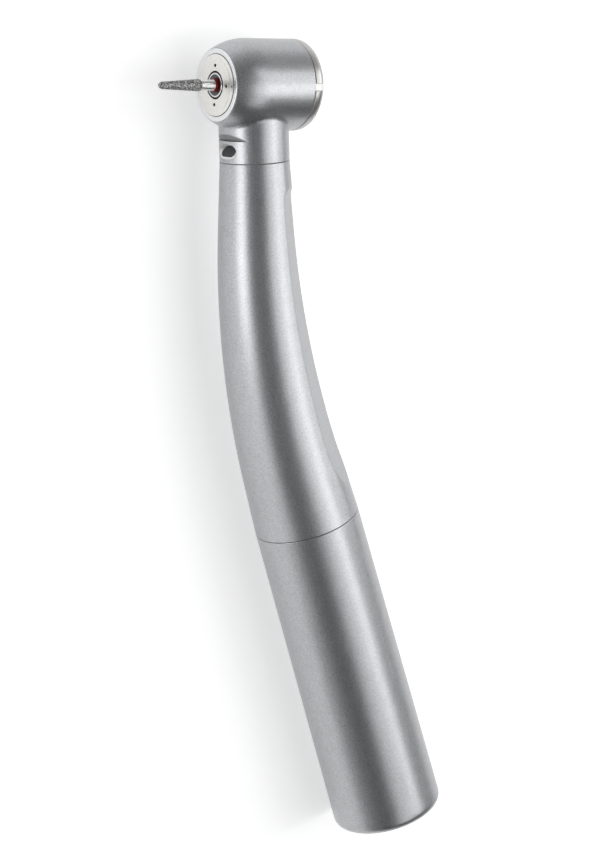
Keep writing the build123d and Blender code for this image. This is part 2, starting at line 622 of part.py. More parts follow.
def cage():
    """Ball cage: a ring with a round pocket for each ball."""
    body = ring(BEARING_LAND_OUT - CAGE_CLEAR, BEARING_LAND_IN + CAGE_CLEAR,
                -CAGE_LENGTH / 2, CAGE_LENGTH / 2)
    pocket = Rot(0, 90, 0) * Cylinder(BALL_RADIUS + BALL_CLEAR, BALL_CIRCLE)
    for place in PolarLocations(BALL_CIRCLE, BALL_COUNT):
        body -= place * pocket
    return body


for end_name, bearing_at in (("front", FRONT_BEARING_AT), ("rear", REAR_BEARING_AT)):
    middle_of_bearing = HEAD * Pos(0, 0, bearing_at + HALF_WIDTH)
    inner = ring(BEARING_LAND_IN, BEARING_BORE, -HALF_WIDTH, HALF_WIDTH) - RACE
    outer = ring(BEARING_OUT, BEARING_LAND_OUT, -HALF_WIDTH, HALF_WIDTH) - RACE
    keep(end_name + "_bearing_inner_ring", middle_of_bearing * inner)
    keep(end_name + "_bearing_outer_ring", middle_of_bearing * outer)
    keep(end_name + "_bearing_balls", middle_of_bearing * Compound(children=BALLS))
    keep(end_name + "_bearing_cage", middle_of_bearing * cage())
    keep(end_name + "_bearing_o_ring", middle_of_bearing * seal(O_RING_MIDDLE, O_RING_SECTION))

WASHER = ring(BEARING_OUT, BEARING_LAND_OUT, FRONT_BEARING_END, SEAT_END)
keep("preload_washer", HEAD * WASHER)


# ---------------------------------------------------------------- rotor
SPINDLE_COLLAR = BEARING_BORE + COLLAR_STEP
SPINDLE_NOSE = NOSE_FACE + PLATE_PROUD - SPINDLE_SINK
RED_RING_TOP = SPINDLE_NOSE - RED_RING_SINK
RED_RING_BOTTOM = RED_RING_TOP - RED_RING_LENGTH


def impeller():
    """Turbine wheel: hub with end spacers, a web and radial blades."""
    body = ring(IMPELLER_HUB, BEARING_BORE, IMPELLER_FROM, IMPELLER_TO)
    body += ring(SPACER_RADIUS, BEARING_BORE, REAR_BEARING_END, FRONT_BEARING_AT)
    middle = (IMPELLER_FROM + IMPELLER_TO) / 2
    body += ring(IMPELLER_WEB_RADIUS, BEARING_BORE, middle - IMPELLER_WEB / 2, middle + IMPELLER_WEB / 2)
    length = IMPELLER_RADIUS - SPACER_RADIUS
    blade = Pos(SPACER_RADIUS + length / 2, 0, middle) * Box(
        length, BLADE_THICKNESS, IMPELLER_TO - IMPELLER_FROM)
    for place in PolarLocations(0, BLADE_COUNT):
        body += place * blade
    return body


def spindle():
    """Hollow turbine shaft with a collar and a conical nose."""
    return turned((BEARING_BORE, SPINDLE_TAIL), (BEARING_BORE, FRONT_BEARING_END),
                  (SPINDLE_COLLAR, FRONT_BEARING_END), (SPINDLE_COLLAR, SPINDLE_NOSE),
                  (NOSE_CONE_RADIUS, SPINDLE_NOSE), (RED_RING_RADIUS, RED_RING_TOP),
                  (RED_RING_RADIUS, RED_RING_BOTTOM), (SPINDLE_BORE, RED_RING_BOTTOM),
                  (SPINDLE_BORE, SPINDLE_TAIL))


def chuck():
    """Slotted friction-grip sleeve that holds the bur's shank."""
    body = ring(SPINDLE_BORE, BUR_SHANK_RADIUS + CHUCK_CLEAR, CHUCK_TAIL, RED_RING_BOTTOM)
    slot = Pos(SPINDLE_BORE / 2, 0, RED_RING_BOTTOM - CHUCK_SLOT_LENGTH / 2) * Box(
        SPINDLE_BORE, CHUCK_SLOT_WIDTH, CHUCK_SLOT_LENGTH)
    for place in PolarLocations(0, CHUCK_SLOTS):
        body -= place * slot
    return body


def red_ring():
    """Red collar at the bottom of the spindle's cone, with a cone of its own round the bur."""
    bore = BUR_SHANK_RADIUS + CHUCK_CLEAR
    front = RED_RING_TOP + RED_RING_CONE
    return turned((bore, RED_RING_BOTTOM), (RED_RING_RADIUS, RED_RING_BOTTOM),
                  (RED_RING_RADIUS, RED_RING_TOP), (bore + RED_RING_EDGE, front), (bore, front))


keep("impeller", HEAD * impeller())
keep("spindle", HEAD * spindle())
keep("chuck", HEAD * chuck())
keep("red_ring", HEAD * red_ring())


# ---------------------------------------------------------------- back cap
CAP_RADIUS = SEAM_BARREL_RADIUS + CAP_PROUD
BUTTON_CHAMBER = CAP_THREAD_RADIUS - BUTTON_CHAMBER_WALL
CAP_MOUTH = BUTTON_CHAMBER - CAP_LIP_REACH
CAP_FLOOR_HOLE = BEARING_LAND_IN + CAP_FLOOR_CLEAR
CAP_FACE = CAP_SEAM - SEAM_GAP
CAP_SKIRT = CAP_THREAD_RADIUS - CAP_SKIRT_CLEAR
SKIRT_END = CAP_THREAD_END - CAP_SKIRT_CLEAR
LIP_START = CAP_END + CAP_LIP


def back_cap():
    """Screwed cap: holds the rear bearing and retains the push button."""
    body = ring(CAP_RADIUS, CAP_MOUTH, CAP_END, CAP_FACE)
    rim = body.edges().filter_by(GeomType.CIRCLE).sort_by(Axis.Z).filter_by(
        lambda edge: edge.radius > CAP_MOUTH)[0]
    body = fillet(rim, CAP_ROUND)
    body += ring(CAP_SKIRT, CAP_MOUTH, CAP_FACE, SKIRT_END)
    body += ring(BUTTON_CHAMBER, CAP_FLOOR_HOLE, BUTTON_CHAMBER_FLOOR, SKIRT_END)
    body -= ring(BUTTON_CHAMBER, 0, LIP_START, BUTTON_CHAMBER_FLOOR)
    seat = ring(BEARING_SEAT, 0, REAR_BEARING_AT, SKIRT_END)
    seat += Pos(0, 0, REAR_BEARING_AT + HALF_WIDTH) * seal_groove(
        O_RING_MIDDLE + O_RING_SECTION, O_RING_MIDDLE, O_RING_SECTION)
    body -= seat
    height = CAP_FACE - CAP_END
    notch = Pos(0, CAP_RADIUS, CAP_END + height / 2) * Box(NOTCH_WIDTH, 2 * NOTCH_DEPTH, height)
    for place in PolarLocations(0, NOTCH_COUNT):
        body -= place * notch
    return body


keep("back_cap", HEAD * back_cap())


# ---------------------------------------------------------------- push button
BUTTON_TOP = CAP_END - BUTTON_PROUD
BUTTON_SKIRT_TOP = LIP_START
BUTTON_SKIRT_END = BUTTON_SKIRT_TOP + BUTTON_FLANGE
BOSS_END = PLUNGER_HEAD - PLUNGER_GAP


def push_button():
    """Domed button with a retaining flange and a boss that meets the plunger."""
    stem = CAP_MOUTH - BUTTON_CLEAR
    edge_top = BUTTON_TOP + BUTTON_DOME_RADIUS - sqrt(BUTTON_DOME_RADIUS ** 2 - stem ** 2)
    half = stem / 2
    half_top = BUTTON_TOP + BUTTON_DOME_RADIUS - sqrt(BUTTON_DOME_RADIUS ** 2 - half ** 2)
    outline = ThreePointArc((0, BUTTON_TOP), (half, half_top), (stem, edge_top))
    outline += Polyline((stem, edge_top), (stem, BUTTON_SKIRT_TOP),
                        (BUTTON_CHAMBER - BUTTON_CLEAR, BUTTON_SKIRT_TOP),
                        (BUTTON_CHAMBER - BUTTON_CLEAR, BUTTON_SKIRT_END),
                        (BOSS_RADIUS, BUTTON_SKIRT_END), (BOSS_RADIUS, BOSS_END),
                        (0, BOSS_END), (0, BUTTON_TOP))
    return revolve(Plane.XZ * make_face(outline), Axis.Z)


def button_spring():
    """Coil spring between the cap's floor and the button's flange."""
    height = BUTTON_CHAMBER_FLOOR - BUTTON_SKIRT_END - 2 * BUTTON_SPRING_WIRE
    coil = Helix(height / BUTTON_SPRING_TURNS, height, BUTTON_SPRING_RADIUS)
    wire = Plane(coil @ 0, z_dir=coil % 0) * Circle(BUTTON_SPRING_WIRE)
    return Pos(0, 0, BUTTON_SKIRT_END + BUTTON_SPRING_WIRE) * sweep(wire, path=coil)


keep("push_button", HEAD * push_button())
keep("button_spring", HEAD * button_spring())
keep("release_plunger", HEAD * ring(PLUNGER_RADIUS, 0, PLUNGER_HEAD, PLUNGER_TIP))


# ---------------------------------------------------------------- bur
def bur_shank():
    """Plain steel shank that steps down to a straight neck in front of the nose."""
    tail_radius = BUR_SHANK_RADIUS - BUR_TAIL_CHAMFER
    return turned((0, BUR_TAIL), (tail_radius, BUR_TAIL), (BUR_SHANK_RADIUS, BUR_TAIL + BUR_TAIL_CHAMFER),
                  (BUR_SHANK_RADIUS, BUR_NECK_FROM), (BUR_NECK_RADIUS, BUR_NECK_FROM + BUR_NECK_STEP),
                  (BUR_NECK_RADIUS, BUR_NECK_TO), (0, BUR_NECK_TO))


def bur_diamond():
    """Diamond-coated taper with a round end."""
    edge = BUR_BASE_RADIUS - BUR_NECK_RADIUS
    round_at = BUR_TIP - BUR_TIP_RADIUS
    outline = Polyline((0, BUR_NECK_TO), (BUR_NECK_RADIUS, BUR_NECK_TO),
                       (BUR_BASE_RADIUS, BUR_NECK_TO + edge), (BUR_TIP_RADIUS, round_at))
    outline += ThreePointArc((BUR_TIP_RADIUS, round_at),
                             (BUR_TIP_RADIUS * sqrt(0.5), round_at + BUR_TIP_RADIUS * sqrt(0.5)),
                             (0, BUR_TIP))
    outline += Line((0, BUR_TIP), (0, BUR_NECK_TO))
    return revolve(Plane.XZ * make_face(outline), Axis.Z)


keep("bur_shank", HEAD * bur_shank())
keep("bur_diamond", HEAD * bur_diamond())


# ---------------------------------------------------------------- write the pieces
os.makedirs("parts", exist_ok=True)
for piece_name, piece in PIECES.items():
    export_step(piece, "parts/" + piece_name + ".step")
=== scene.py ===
import json
import math

import bmesh
import bpy
import numpy as np
from mathutils import Matrix, Vector


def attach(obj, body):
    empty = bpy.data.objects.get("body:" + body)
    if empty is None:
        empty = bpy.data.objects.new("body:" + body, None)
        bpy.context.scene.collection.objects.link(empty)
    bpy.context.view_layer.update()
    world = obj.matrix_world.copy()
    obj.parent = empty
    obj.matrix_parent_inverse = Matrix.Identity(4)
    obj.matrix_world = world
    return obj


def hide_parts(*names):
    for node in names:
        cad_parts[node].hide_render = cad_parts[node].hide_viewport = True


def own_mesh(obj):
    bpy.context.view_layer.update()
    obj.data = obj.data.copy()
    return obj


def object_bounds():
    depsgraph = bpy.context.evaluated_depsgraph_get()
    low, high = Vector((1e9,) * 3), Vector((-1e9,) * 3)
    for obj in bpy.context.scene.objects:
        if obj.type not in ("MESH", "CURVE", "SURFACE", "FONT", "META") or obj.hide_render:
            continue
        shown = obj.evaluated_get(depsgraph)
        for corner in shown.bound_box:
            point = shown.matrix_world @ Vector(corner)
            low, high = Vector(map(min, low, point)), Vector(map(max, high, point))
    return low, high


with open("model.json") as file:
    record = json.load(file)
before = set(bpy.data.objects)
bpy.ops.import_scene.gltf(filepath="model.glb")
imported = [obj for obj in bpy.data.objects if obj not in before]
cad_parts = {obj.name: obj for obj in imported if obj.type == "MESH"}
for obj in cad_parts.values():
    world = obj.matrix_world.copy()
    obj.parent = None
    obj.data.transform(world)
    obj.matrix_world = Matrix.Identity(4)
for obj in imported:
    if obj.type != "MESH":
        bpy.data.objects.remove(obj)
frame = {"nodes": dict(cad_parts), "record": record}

cad_low, cad_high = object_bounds()


# ---------------- floor, studio light and camera
# The handpiece lies on its side on a pale matt floor. Five soft boxes hang over its back and two
# small ones stand low in front; the surround is dim, so that the satin steel shows bands. Sizes of
# the studio are in metres.
JOINTS = {joint["name"]: joint for joint in frame["record"]["behaviour"]["joints"]}
HEAD = Vector(JOINTS["rotor_spin"]["pos_m"])
MIDDLE = (cad_low + cad_high) / 2
FLOOR_RADIUS = 6.0
FLOOR_SIDES = 96
FLOOR_WHITE = (0.90, 0.90, 0.90)
FLOOR_GLOW = 0.46
SKY_TONE = (0.98, 0.99, 1.0)
HORIZON = 0.60
OVERHEAD = 0.22
BEHIND_TAIL = 0.3
LAMP_DISTANCE = 1.0
LAMP_SIZE = (0.5, 0.4)
LOW_LAMP_AWAY = Vector((0.0, -0.2, 0.04))
LOW_LAMP_TALL = 0.09
HEAD_LAMP_BEYOND = 0.0257
TAIL_LAMP_BEFORE = 0.01
CAMERA_LENS = 145.33
CAMERA_AZIMUTH = -124.253
CAMERA_HEIGHT = 52.705
CAMERA_DISTANCE = 0.4997
CAMERA_ROLL = 102.897
CAMERA_AIM = MIDDLE + Vector((-0.00105, -0.00213, 0.0))


class Value:
    """A shader socket that takes part in sums, so that shader maths reads as expressions."""

    def __init__(self, tree, socket=None):
        self.tree = tree
        self.socket = socket

    def node(self, kind, settings=None, out=0, **sockets):
        """Another node: its settings come first, then the values or links of its sockets."""
        node = self.tree.nodes.new(kind)
        for name, setting in (settings or {}).items():
            setattr(node, name, setting)
        for name, value in sockets.items():
            key = int(name[1:]) if name[1:].isdigit() else name.replace("_", " ")
            socket = node.inputs[key]
            if isinstance(value, Value):
                self.tree.links.new(value.socket, socket)
            elif socket.type == "RGBA" and len(value) == 3:
                socket.default_value = (*value, 1.0)
            else:
                socket.default_value = value
        return Value(self.tree, node.outputs[out])

    def maths(self, operation, *values, kind="ShaderNodeMath", out=0):
        """A Math node on this value and others."""
        inputs = {"i%d" % place: value for place, value in enumerate((self, *values))}
        return self.node(kind, {"operation": operation}, out=out, **inputs)

    def __add__(self, other):
        return self.maths("ADD", other)

    def __mul__(self, other):
        return self.maths("MULTIPLY", other)

    def __sub__(self, other):
        return self.maths("SUBTRACT", other)

    def __rsub__(self, other):
        return self * -1.0 + other

    __radd__ = __add__
    __rmul__ = __mul__

    def vector(self, operation, *values, out="Value"):
        """A Vector Math node on this vector and others."""
        return self.maths(operation, *values, kind="ShaderNodeVectorMath", out=out)

    def step(self, low, high, before=0.0, after=1.0):
        """A smooth change from one number to another while the value goes from low to high."""
        return self.node("ShaderNodeMapRange", {"interpolation_type": "SMOOTHSTEP"}, Value=self,
                         From_Min=low, From_Max=high, To_Min=before, To_Max=after)

    def colour(self, first, second):
        """A colour that goes from the first to the second as the value goes from 0 to 1."""
        return self.node("ShaderNodeMix", {"data_type": "RGBA"}, out=2, i0=self, i6=first, i7=second)

    def noise(self, scale, detail=2.0, **more):
        """Soft noise over this vector: so many bumps to the metre, with finer ones on them."""
        return self.node("ShaderNodeTexNoise", Vector=self, Scale=scale, Detail=detail, **more)

    def spread(self, low=0.0, high=1.0):
        """A noise's usual range of values, stretched from one number to another."""
        return self.step(0.3, 0.7, low, high)

    def tint(self, tone, low, high=1.0):
        """A tone times a number that goes from low to high as the value goes from 0 to 1."""
        return self.colour([c * low for c in tone], [min(c * high, 1.0) for c in tone])


def blank(name, build):
    """A material with nothing in it but the surface that a function builds."""
    made = bpy.data.materials.new(name)
    made.use_nodes = True
    tree = made.node_tree
    tree.nodes.clear()
    out = tree.nodes.new("ShaderNodeOutputMaterial")
    tree.links.new(build(Value(tree)).socket, out.inputs["Surface"])
    return made


def floor_paint(new):
    """Matt white that also glows a little towards the camera, the steel and the glass."""
    seen = new.node("ShaderNodeLightPath")
    seen = seen.maths("MAXIMUM", new.node("ShaderNodeLightPath", out="Is Glossy Ray"))
    seen = seen.maths("MAXIMUM", new.node("ShaderNodeLightPath", out="Is Transmission Ray"))
    matt = new.node("ShaderNodeBsdfDiffuse", Color=FLOOR_WHITE)
    glow = new.node("ShaderNodeEmission", Color=(1.0, 1.0, 1.0), Strength=seen * FLOOR_GLOW)
    return new.node("ShaderNodeAddShader", i0=matt, i1=glow)


def circle(count):
    """Turns evenly spaced all the way round."""
    return np.linspace(0.0, 2 * math.pi, count, endpoint=False)


# The floor is one flat disc.
turns = circle(FLOOR_SIDES)
rim = np.stack([FLOOR_RADIUS * np.cos(turns), FLOOR_RADIUS * np.sin(turns),
                np.full(FLOOR_SIDES, cad_low.z)], axis=1)
floor_mesh = bpy.data.meshes.new("floor")
floor_mesh.from_pydata(rim.tolist(), [], [list(range(FLOOR_SIDES))])
floor_mesh.materials.append(blank("floor_paint", floor_paint))
floor = bpy.data.objects.new("floor", floor_mesh)
bpy.context.collection.objects.link(floor)

# The surround dims from the horizon to overhead, and behind the tail.
world = bpy.data.worlds.new("studio")
bpy.context.scene.world = world
world.use_nodes = True
world.node_tree.nodes.clear()
sky = Value(world.node_tree)
way = sky.node("ShaderNodeTexCoord", out="Generated")
height = way.vector("DOT_PRODUCT", (0.0, 0.0, 1.0))
tailwards = way.vector("DOT_PRODUCT", (1.0, 0.0, 0.0))
light = height.step(0.0, 0.7, HORIZON, OVERHEAD) * tailwards.step(0.0, 0.8, 1.0, BEHIND_TAIL)
surround = sky.node("ShaderNodeBackground", Color=SKY_TONE, Strength=light)
world_end = world.node_tree.nodes.new("ShaderNodeOutputWorld")
world.node_tree.links.new(surround.socket, world_end.inputs["Surface"])


def soft_box(name, place, facing, width, height, brightness):
    """A lit rectangle that looks as bright as a white sheet does at brightness 1."""
    data = bpy.data.lights.new(name, "AREA")
    data.shape = "RECTANGLE"
    data.size = width
    data.size_y = height
    data.energy = brightness * math.pi * width * height
    box = bpy.data.objects.new(name, data)
    box.location = place
    box.rotation_mode = "QUATERNION"
    box.rotation_quaternion = (place - facing).to_track_quat("Z", "Y")
    box.visible_camera = False
    bpy.context.collection.objects.link(box)


def direction(azimuth, height):
    """The unit vector with a compass turn and a height above the floor, both in degrees."""
    turn, lift = math.radians(azimuth), math.radians(height)
    level = math.cos(lift)
    return Vector((level * math.cos(turn), level * math.sin(turn), math.sin(lift)))


for name, azimuth, height, brightness in (("high_right", 0, 55, 1.3), ("high_back", 60, 55, 2.75),
                                          ("high_left", 120, 55, 1.6), ("middle_back", 87, 30, 2.9),
                                          ("top", 50, 80, 1.5)):
    place = MIDDLE + LAMP_DISTANCE * direction(azimuth, height)
    soft_box(name, place, MIDDLE, *LAMP_SIZE, brightness)
for name, along, wide, brightness in (("head_low", HEAD.x - HEAD_LAMP_BEYOND, 0.11, 2.8),
                                      ("tail_low", -TAIL_LAMP_BEFORE, 0.06, 1.0)):
    lit = Vector((along, 0.0, 0.0))
    soft_box(name, lit + LOW_LAMP_AWAY, lit, wide, LOW_LAMP_TALL, brightness)

camera_data = bpy.data.cameras.new("camera")
camera_data.lens = CAMERA_LENS
camera = bpy.data.objects.new("camera", camera_data)
bpy.context.collection.objects.link(camera)
back = direction(CAMERA_AZIMUTH, CAMERA_HEIGHT)
camera.matrix_world = (Matrix.Translation(CAMERA_AIM + CAMERA_DISTANCE * back)
                       @ back.to_track_quat("Z", "Y").to_matrix().to_4x4()
                       @ Matrix.Rotation(math.radians(CAMERA_ROLL), 4, "Z"))
bpy.context.scene.camera = camera
bpy.context.scene.view_settings.view_transform = "Standard"


# ---------------- rear sleeve
# The rear half of the grip: a tube of steel turned to a slight taper, bead-blasted to an even
# satin, with a rounded lip. It slides over the coupling socket up to the seam with the shell.
# Sizes of pieces are in millimetres.
MM = 0.001
SLEEVE_LIP = 0.8
SEAM_AT = 47.0
SEAM_GAP = 0.06
REAR_RADIUS = 8.0
SEAM_RADIUS = 7.58
SLEEVE_BORE = 6.6
SLEEVE_COUNTERBORE = 6.9
SLEEVE_SHOULDER = 36.8
LIP_ROUND = 1.25
EDGE = 0.09
TURNS = 192
ARC_STEP = 0.26
MERGE_WITHIN = 1e-4
SATIN_TONE = (0.435, 0.44, 0.452)
SATIN_ROUGHNESS = 0.35
BLAST_SCALE = 5200.0
CLOUD_SCALE = 700.0
BLAST_DEPTH = 0.000012


def outline(corners, closed):
    """Points (radius, height) along straight runs, with an arc in each corner that has a radius.

    The arc's centre lies on the corner's bisector, rounding / sin(half angle) away, so it touches
    both runs; a point a little way along each run keeps the run flat in shade.
    """
    corners = [(*corner, 0.0)[:3] for corner in corners]
    points = []
    for place, (x, y, rounding) in enumerate(corners):
        here = np.array([x, y])
        if rounding == 0.0:
            points.append(here[None])
            continue
        back = np.array(corners[place - 1][:2]) - here
        on = np.array(corners[(place + 1) % len(corners)][:2]) - here
        back_length, on_length = np.linalg.norm(back), np.linalg.norm(on)
        back, on = back / back_length, on / on_length
        half = math.acos(float(np.clip(back @ on, -1.0, 1.0))) / 2
        reach = rounding / math.tan(half)
        middle = here + (back + on) / np.linalg.norm(back + on) * rounding / math.sin(half)
        first, last = here + back * reach - middle, here + on * reach - middle
        sweep = math.pi - 2 * half
        share = np.linspace(0.0, 1.0, max(3, round(sweep / ARC_STEP)) + 1)[:, None]
        arc = first * np.sin((1 - share) * sweep) + last * np.sin(share * sweep)
        hold = reach + 0.5 * rounding
        points += [(here + back * min(hold, 0.9 * back_length))[None], middle + arc / math.sin(sweep),
                   (here + on * min(hold, 0.9 * on_length))[None]]
    points = np.concatenate(points)
    return points if not closed else np.concatenate([points, points[:1]])


def turned(profile, turn=circle(TURNS)):
    """Grid of points of a profile (radius, height) turned about the height: x, y, height."""
    radius, height = profile[:, :1], profile[:, 1:]
    return np.stack([radius * np.cos(turn), radius * np.sin(turn), height * np.ones_like(turn)],
                    axis=-1)


def numbered(grid, first=0):
    """The table of point numbers of a grid of points, counted from a first number."""
    return first + np.arange(grid.size // 3).reshape(grid.shape[:2])


def quads(numbers):
    """Four-sided faces between neighbours of a table of point numbers, closed around."""
    table = np.concatenate([numbers, numbers[:, :1]], axis=1)
    return np.stack([table[:-1, :-1], table[:-1, 1:], table[1:, 1:], table[1:, :-1]],
                    axis=-1).reshape(-1, 4)


def place_at(points, origin, x_axis, y_axis, z_axis):
    """Points in millimetres carried from a piece's own frame to the handpiece's, in metres."""
    axes = np.array([x_axis, y_axis, z_axis])
    return (points.reshape(-1, 3) @ axes) * MM + np.array(origin)


def piece(name, points, faces, material, body, slot, replaced, sharp=35.0):
    """A mesh object from points and faces; doubled points are merged, so poles close."""
    mesh = bpy.data.meshes.new(name)
    keys = np.round(points / (MERGE_WITHIN * MM)).astype(np.int64)
    _, first, same = np.unique(keys, axis=0, return_index=True, return_inverse=True)
    used, faces = np.unique(same.reshape(-1)[faces], return_inverse=True)
    points, faces = points[first][used], faces.reshape(-1, 4)
    rolled = np.roll(faces, 1, axis=1)
    kept = [row[row != before].tolist() for row, before in zip(faces, rolled)]
    mesh.from_pydata(points.tolist(), [], [row for row in kept if len(row) > 2])
    shaped = bmesh.new()
    shaped.from_mesh(mesh)
    bmesh.ops.recalc_face_normals(shaped, faces=shaped.faces)
    shaped.to_mesh(mesh)
    shaped.free()
    mesh.polygons.foreach_set("use_smooth", np.ones(len(mesh.polygons), dtype=bool))
    mesh.set_sharp_from_angle(angle=math.radians(sharp))
    mesh.materials.append(material)
    mesh.update()
    made = bpy.data.objects.new(name, mesh)
    bpy.context.collection.objects.link(made)
    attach(made, body)
    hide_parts(*replaced)
    return made


def shader(new, base, roughness, metallic=1.0, height=None, depth=0.0, **more):
    """The surface shader, with a fine relief of a given depth in metres where there is one."""
    if height is not None:
        more["Normal"] = new.node("ShaderNodeBump", Strength=1.0, Distance=depth, Height=height)
    return new.node("ShaderNodeBsdfPrincipled", Base_Color=base, Roughness=roughness,
                    Metallic=metallic, **more)


def satin(tone, roughness, areas=None):
    """Bead-blasted steel: fine dimples that scatter the light, and faint larger clouds.

    Areas may be finished in another way: each is a mask with its colour, roughness and metalness.
    """
    def build(new):
        where = new.node("ShaderNodeTexCoord", out="Object")
        fine = where.noise(BLAST_SCALE, 3.0, Roughness=0.7)
        cloud = where.noise(CLOUD_SCALE)
        colour = (fine * 0.9 + cloud * 0.1).spread().tint(tone, 0.80, 1.20)
        rough = fine.spread(roughness - 0.04, roughness + 0.05)
        dimples, metal = fine, 1.0
        for mask, other, smooth, bare in (areas(where) if areas else []):
            colour = mask.colour(colour, other)
            rough = rough + (smooth - rough) * mask
            metal = metal + mask * (bare - metal)
            dimples = dimples * (1.0 - mask)
        return shader(new, colour, rough, metal, dimples, BLAST_DEPTH)
    return build


SATIN = blank("satin_steel", satin(SATIN_TONE, SATIN_ROUGHNESS))
sleeve_end = SEAM_AT - SEAM_GAP
profile = outline([
    (SLEEVE_BORE, -SLEEVE_LIP, 0.3), (REAR_RADIUS, -SLEEVE_LIP, LIP_ROUND),
    (SEAM_RADIUS, sleeve_end, EDGE), (SLEEVE_COUNTERBORE, sleeve_end, EDGE),
    (SLEEVE_COUNTERBORE, SLEEVE_SHOULDER), (SLEEVE_BORE, SLEEVE_SHOULDER)], closed=True)
grid = turned(profile)
piece("sleeve", place_at(grid, (0, 0, 0), (0, 1, 0), (0, 0, -1), (-1, 0, 0)), quads(numbered(grid)),
      SATIN, "handpiece", "satin_casing", ["rear_sleeve"])


# ---------------- body shell
# The curved front half of the grip, one steel casing that follows the bend and tapers to the
# neck. Two long flats milled along its upper side give the fingers a hold; each fades out.
BEND_START = 55.2
BEND_RADIUS = 122.4
BEND = math.radians(16.2)
BEND_END = BEND_START + BEND_RADIUS * BEND
HEAD_AT = BEND_END + 20.8
NECK_AT = HEAD_AT - 10.6
NECK_RADIUS = 4.9
SHELL_SWELL = 0.11
SHELL_WALL = 0.9
TENON_START = 41.5
TENON_RADIUS = 6.85
TENON_BORE = 5.9
SPIGOT_START = NECK_AT - 8.0
SPIGOT_BORE = 4.23
FLAT_TURN = math.radians(43.0)
FLAT_DEPTH = 0.7
FLAT_FROM = SEAM_AT + 4.5
FLAT_TO = NECK_AT - 3.6
FLAT_REAR_RAMP = 6.0
FLAT_FRONT_RAMP = 1.8
FLAT_EDGE = 0.035
CROWDING = 1.6
LEAST_SPREAD = math.radians(3.0)
FLAT_FACES = 1.2


def centre_line(along):
    """Points of the bent centre line and the directions inward and forward, as arrays."""
    turn = np.clip((along - BEND_START) / BEND_RADIUS, 0.0, BEND)
    before, after = np.minimum(along, BEND_START), np.maximum(along - BEND_END, 0.0)
    flat = np.zeros_like(along)
    point = np.stack([-before - BEND_RADIUS * np.sin(turn) - after * np.cos(turn),
                      BEND_RADIUS * (1 - np.cos(turn)) + after * np.sin(turn), flat], axis=-1)
    return (point, np.stack([np.sin(turn), np.cos(turn), flat], axis=-1),
            np.stack([-np.cos(turn), np.sin(turn), flat], axis=-1))


def shell_radius(along):
    """Radius of the shell before its flats: a straight taper with a slight swell."""
    share = (along - SEAM_AT) / (NECK_AT - SEAM_AT)
    return SEAM_RADIUS + (NECK_RADIUS - SEAM_RADIUS) * share + SHELL_SWELL * 4 * share * (1 - share)


def wrapped(angle):
    """An angle brought between minus and plus half a turn."""
    return np.angle(np.exp(1j * angle))


def around_line(along, radius, turn):
    """Points at a radius round the centre line; the turn is from straight up towards inward."""
    point, inward, _ = centre_line(along)
    up = np.array([0.0, 0.0, 1.0])
    way = np.cos(turn)[..., None] * up + np.sin(turn)[..., None] * inward
    return (point + radius[..., None] * way) * MM


# Rows along the shell come closer together where a flat fades out. Columns follow the flats'
# edges: half the flat's angle is acos(floor / radius), and the columns spread out beyond it.
ramp_rear = FLAT_FROM + FLAT_REAR_RAMP * np.linspace(0.0, 1.0, 29) ** CROWDING
ramp_front = FLAT_TO - FLAT_FRONT_RAMP * np.linspace(1.0, 0.0, 25) ** CROWDING
rows = np.concatenate([[SEAM_AT + 0.5 * EDGE], np.linspace(SEAM_AT + 0.2, FLAT_FROM - 0.2, 10),
                       ramp_rear, np.linspace(ramp_rear[-1], ramp_front[0], 72)[1:-1], ramp_front,
                       np.linspace(FLAT_TO + 0.1, NECK_AT - 0.2, 9), [NECK_AT - 0.5 * EDGE]])
share = np.minimum((rows - FLAT_FROM) / FLAT_REAR_RAMP, (FLAT_TO - rows) / FLAT_FRONT_RAMP)
share = np.clip(share, 0.0, 1.0)
radius = shell_radius(rows)
floor_out = radius - FLAT_DEPTH * np.sin(share * math.pi / 2)
spread = np.maximum(np.arccos(np.clip(floor_out / radius, -1.0, 1.0)), LEAST_SPREAD)


def columns_beside(first, last, count):
    """Turns from one flat's edge to the next, close together beside both edges."""
    ends = np.array([0.006, 0.0132, 0.024, 0.0408])
    middle = np.linspace(0.0, 1.0, count + 2)[1:-1]
    middle = ends[-1] + (1 - 2 * ends[-1]) * middle
    share = np.concatenate([ends, middle, 1 - ends[::-1]])
    return first[:, None] + (last - first)[:, None] * share


within = spread[:, None] * np.concatenate([[-1.0, -0.985, -0.96, -0.92], np.linspace(-0.85, 0.85, 9),
                                           [0.92, 0.96, 0.985, 1.0]])
upper = FLAT_TURN + within
lower = math.pi - FLAT_TURN + within
between = columns_beside(FLAT_TURN + spread, math.pi - FLAT_TURN - spread, 8)
outer = columns_beside(math.pi - FLAT_TURN + spread, 2 * math.pi + FLAT_TURN - spread, 70)
turn = np.concatenate([upper, between, lower, outer], axis=1)

# A flat's plane lies floor / cos(turn from its middle) out. The outside is the lesser of that and
# the full radius, with the edge between them eased by a parabola.
depth = np.full_like(turn, 2 * REAR_RADIUS)
for middle in (FLAT_TURN, math.pi - FLAT_TURN):
    away = wrapped(turn - middle)
    facing = np.abs(away) < FLAT_FACES
    plane = floor_out[:, None] / np.cos(np.where(facing, away, 0.0))
    depth = np.where(facing, np.minimum(depth, plane), depth)
full = np.broadcast_to(radius[:, None], turn.shape)
apart = np.clip((FLAT_EDGE - np.abs(depth - full)) / FLAT_EDGE, 0.0, 1.0)
outside = np.minimum(depth, full) - FLAT_EDGE * apart ** 2 / 4
outside = np.where(share[:, None] > 0, outside, full)


def ring_rows(profile, turn):
    """Rows of plain rings (radius, distance along) with the same turns as a row beside them."""
    shape = (len(profile), len(turn))
    return around_line(np.broadcast_to(profile[:, 1:], shape), np.broadcast_to(profile[:, :1], shape),
                       np.broadcast_to(turn, shape))


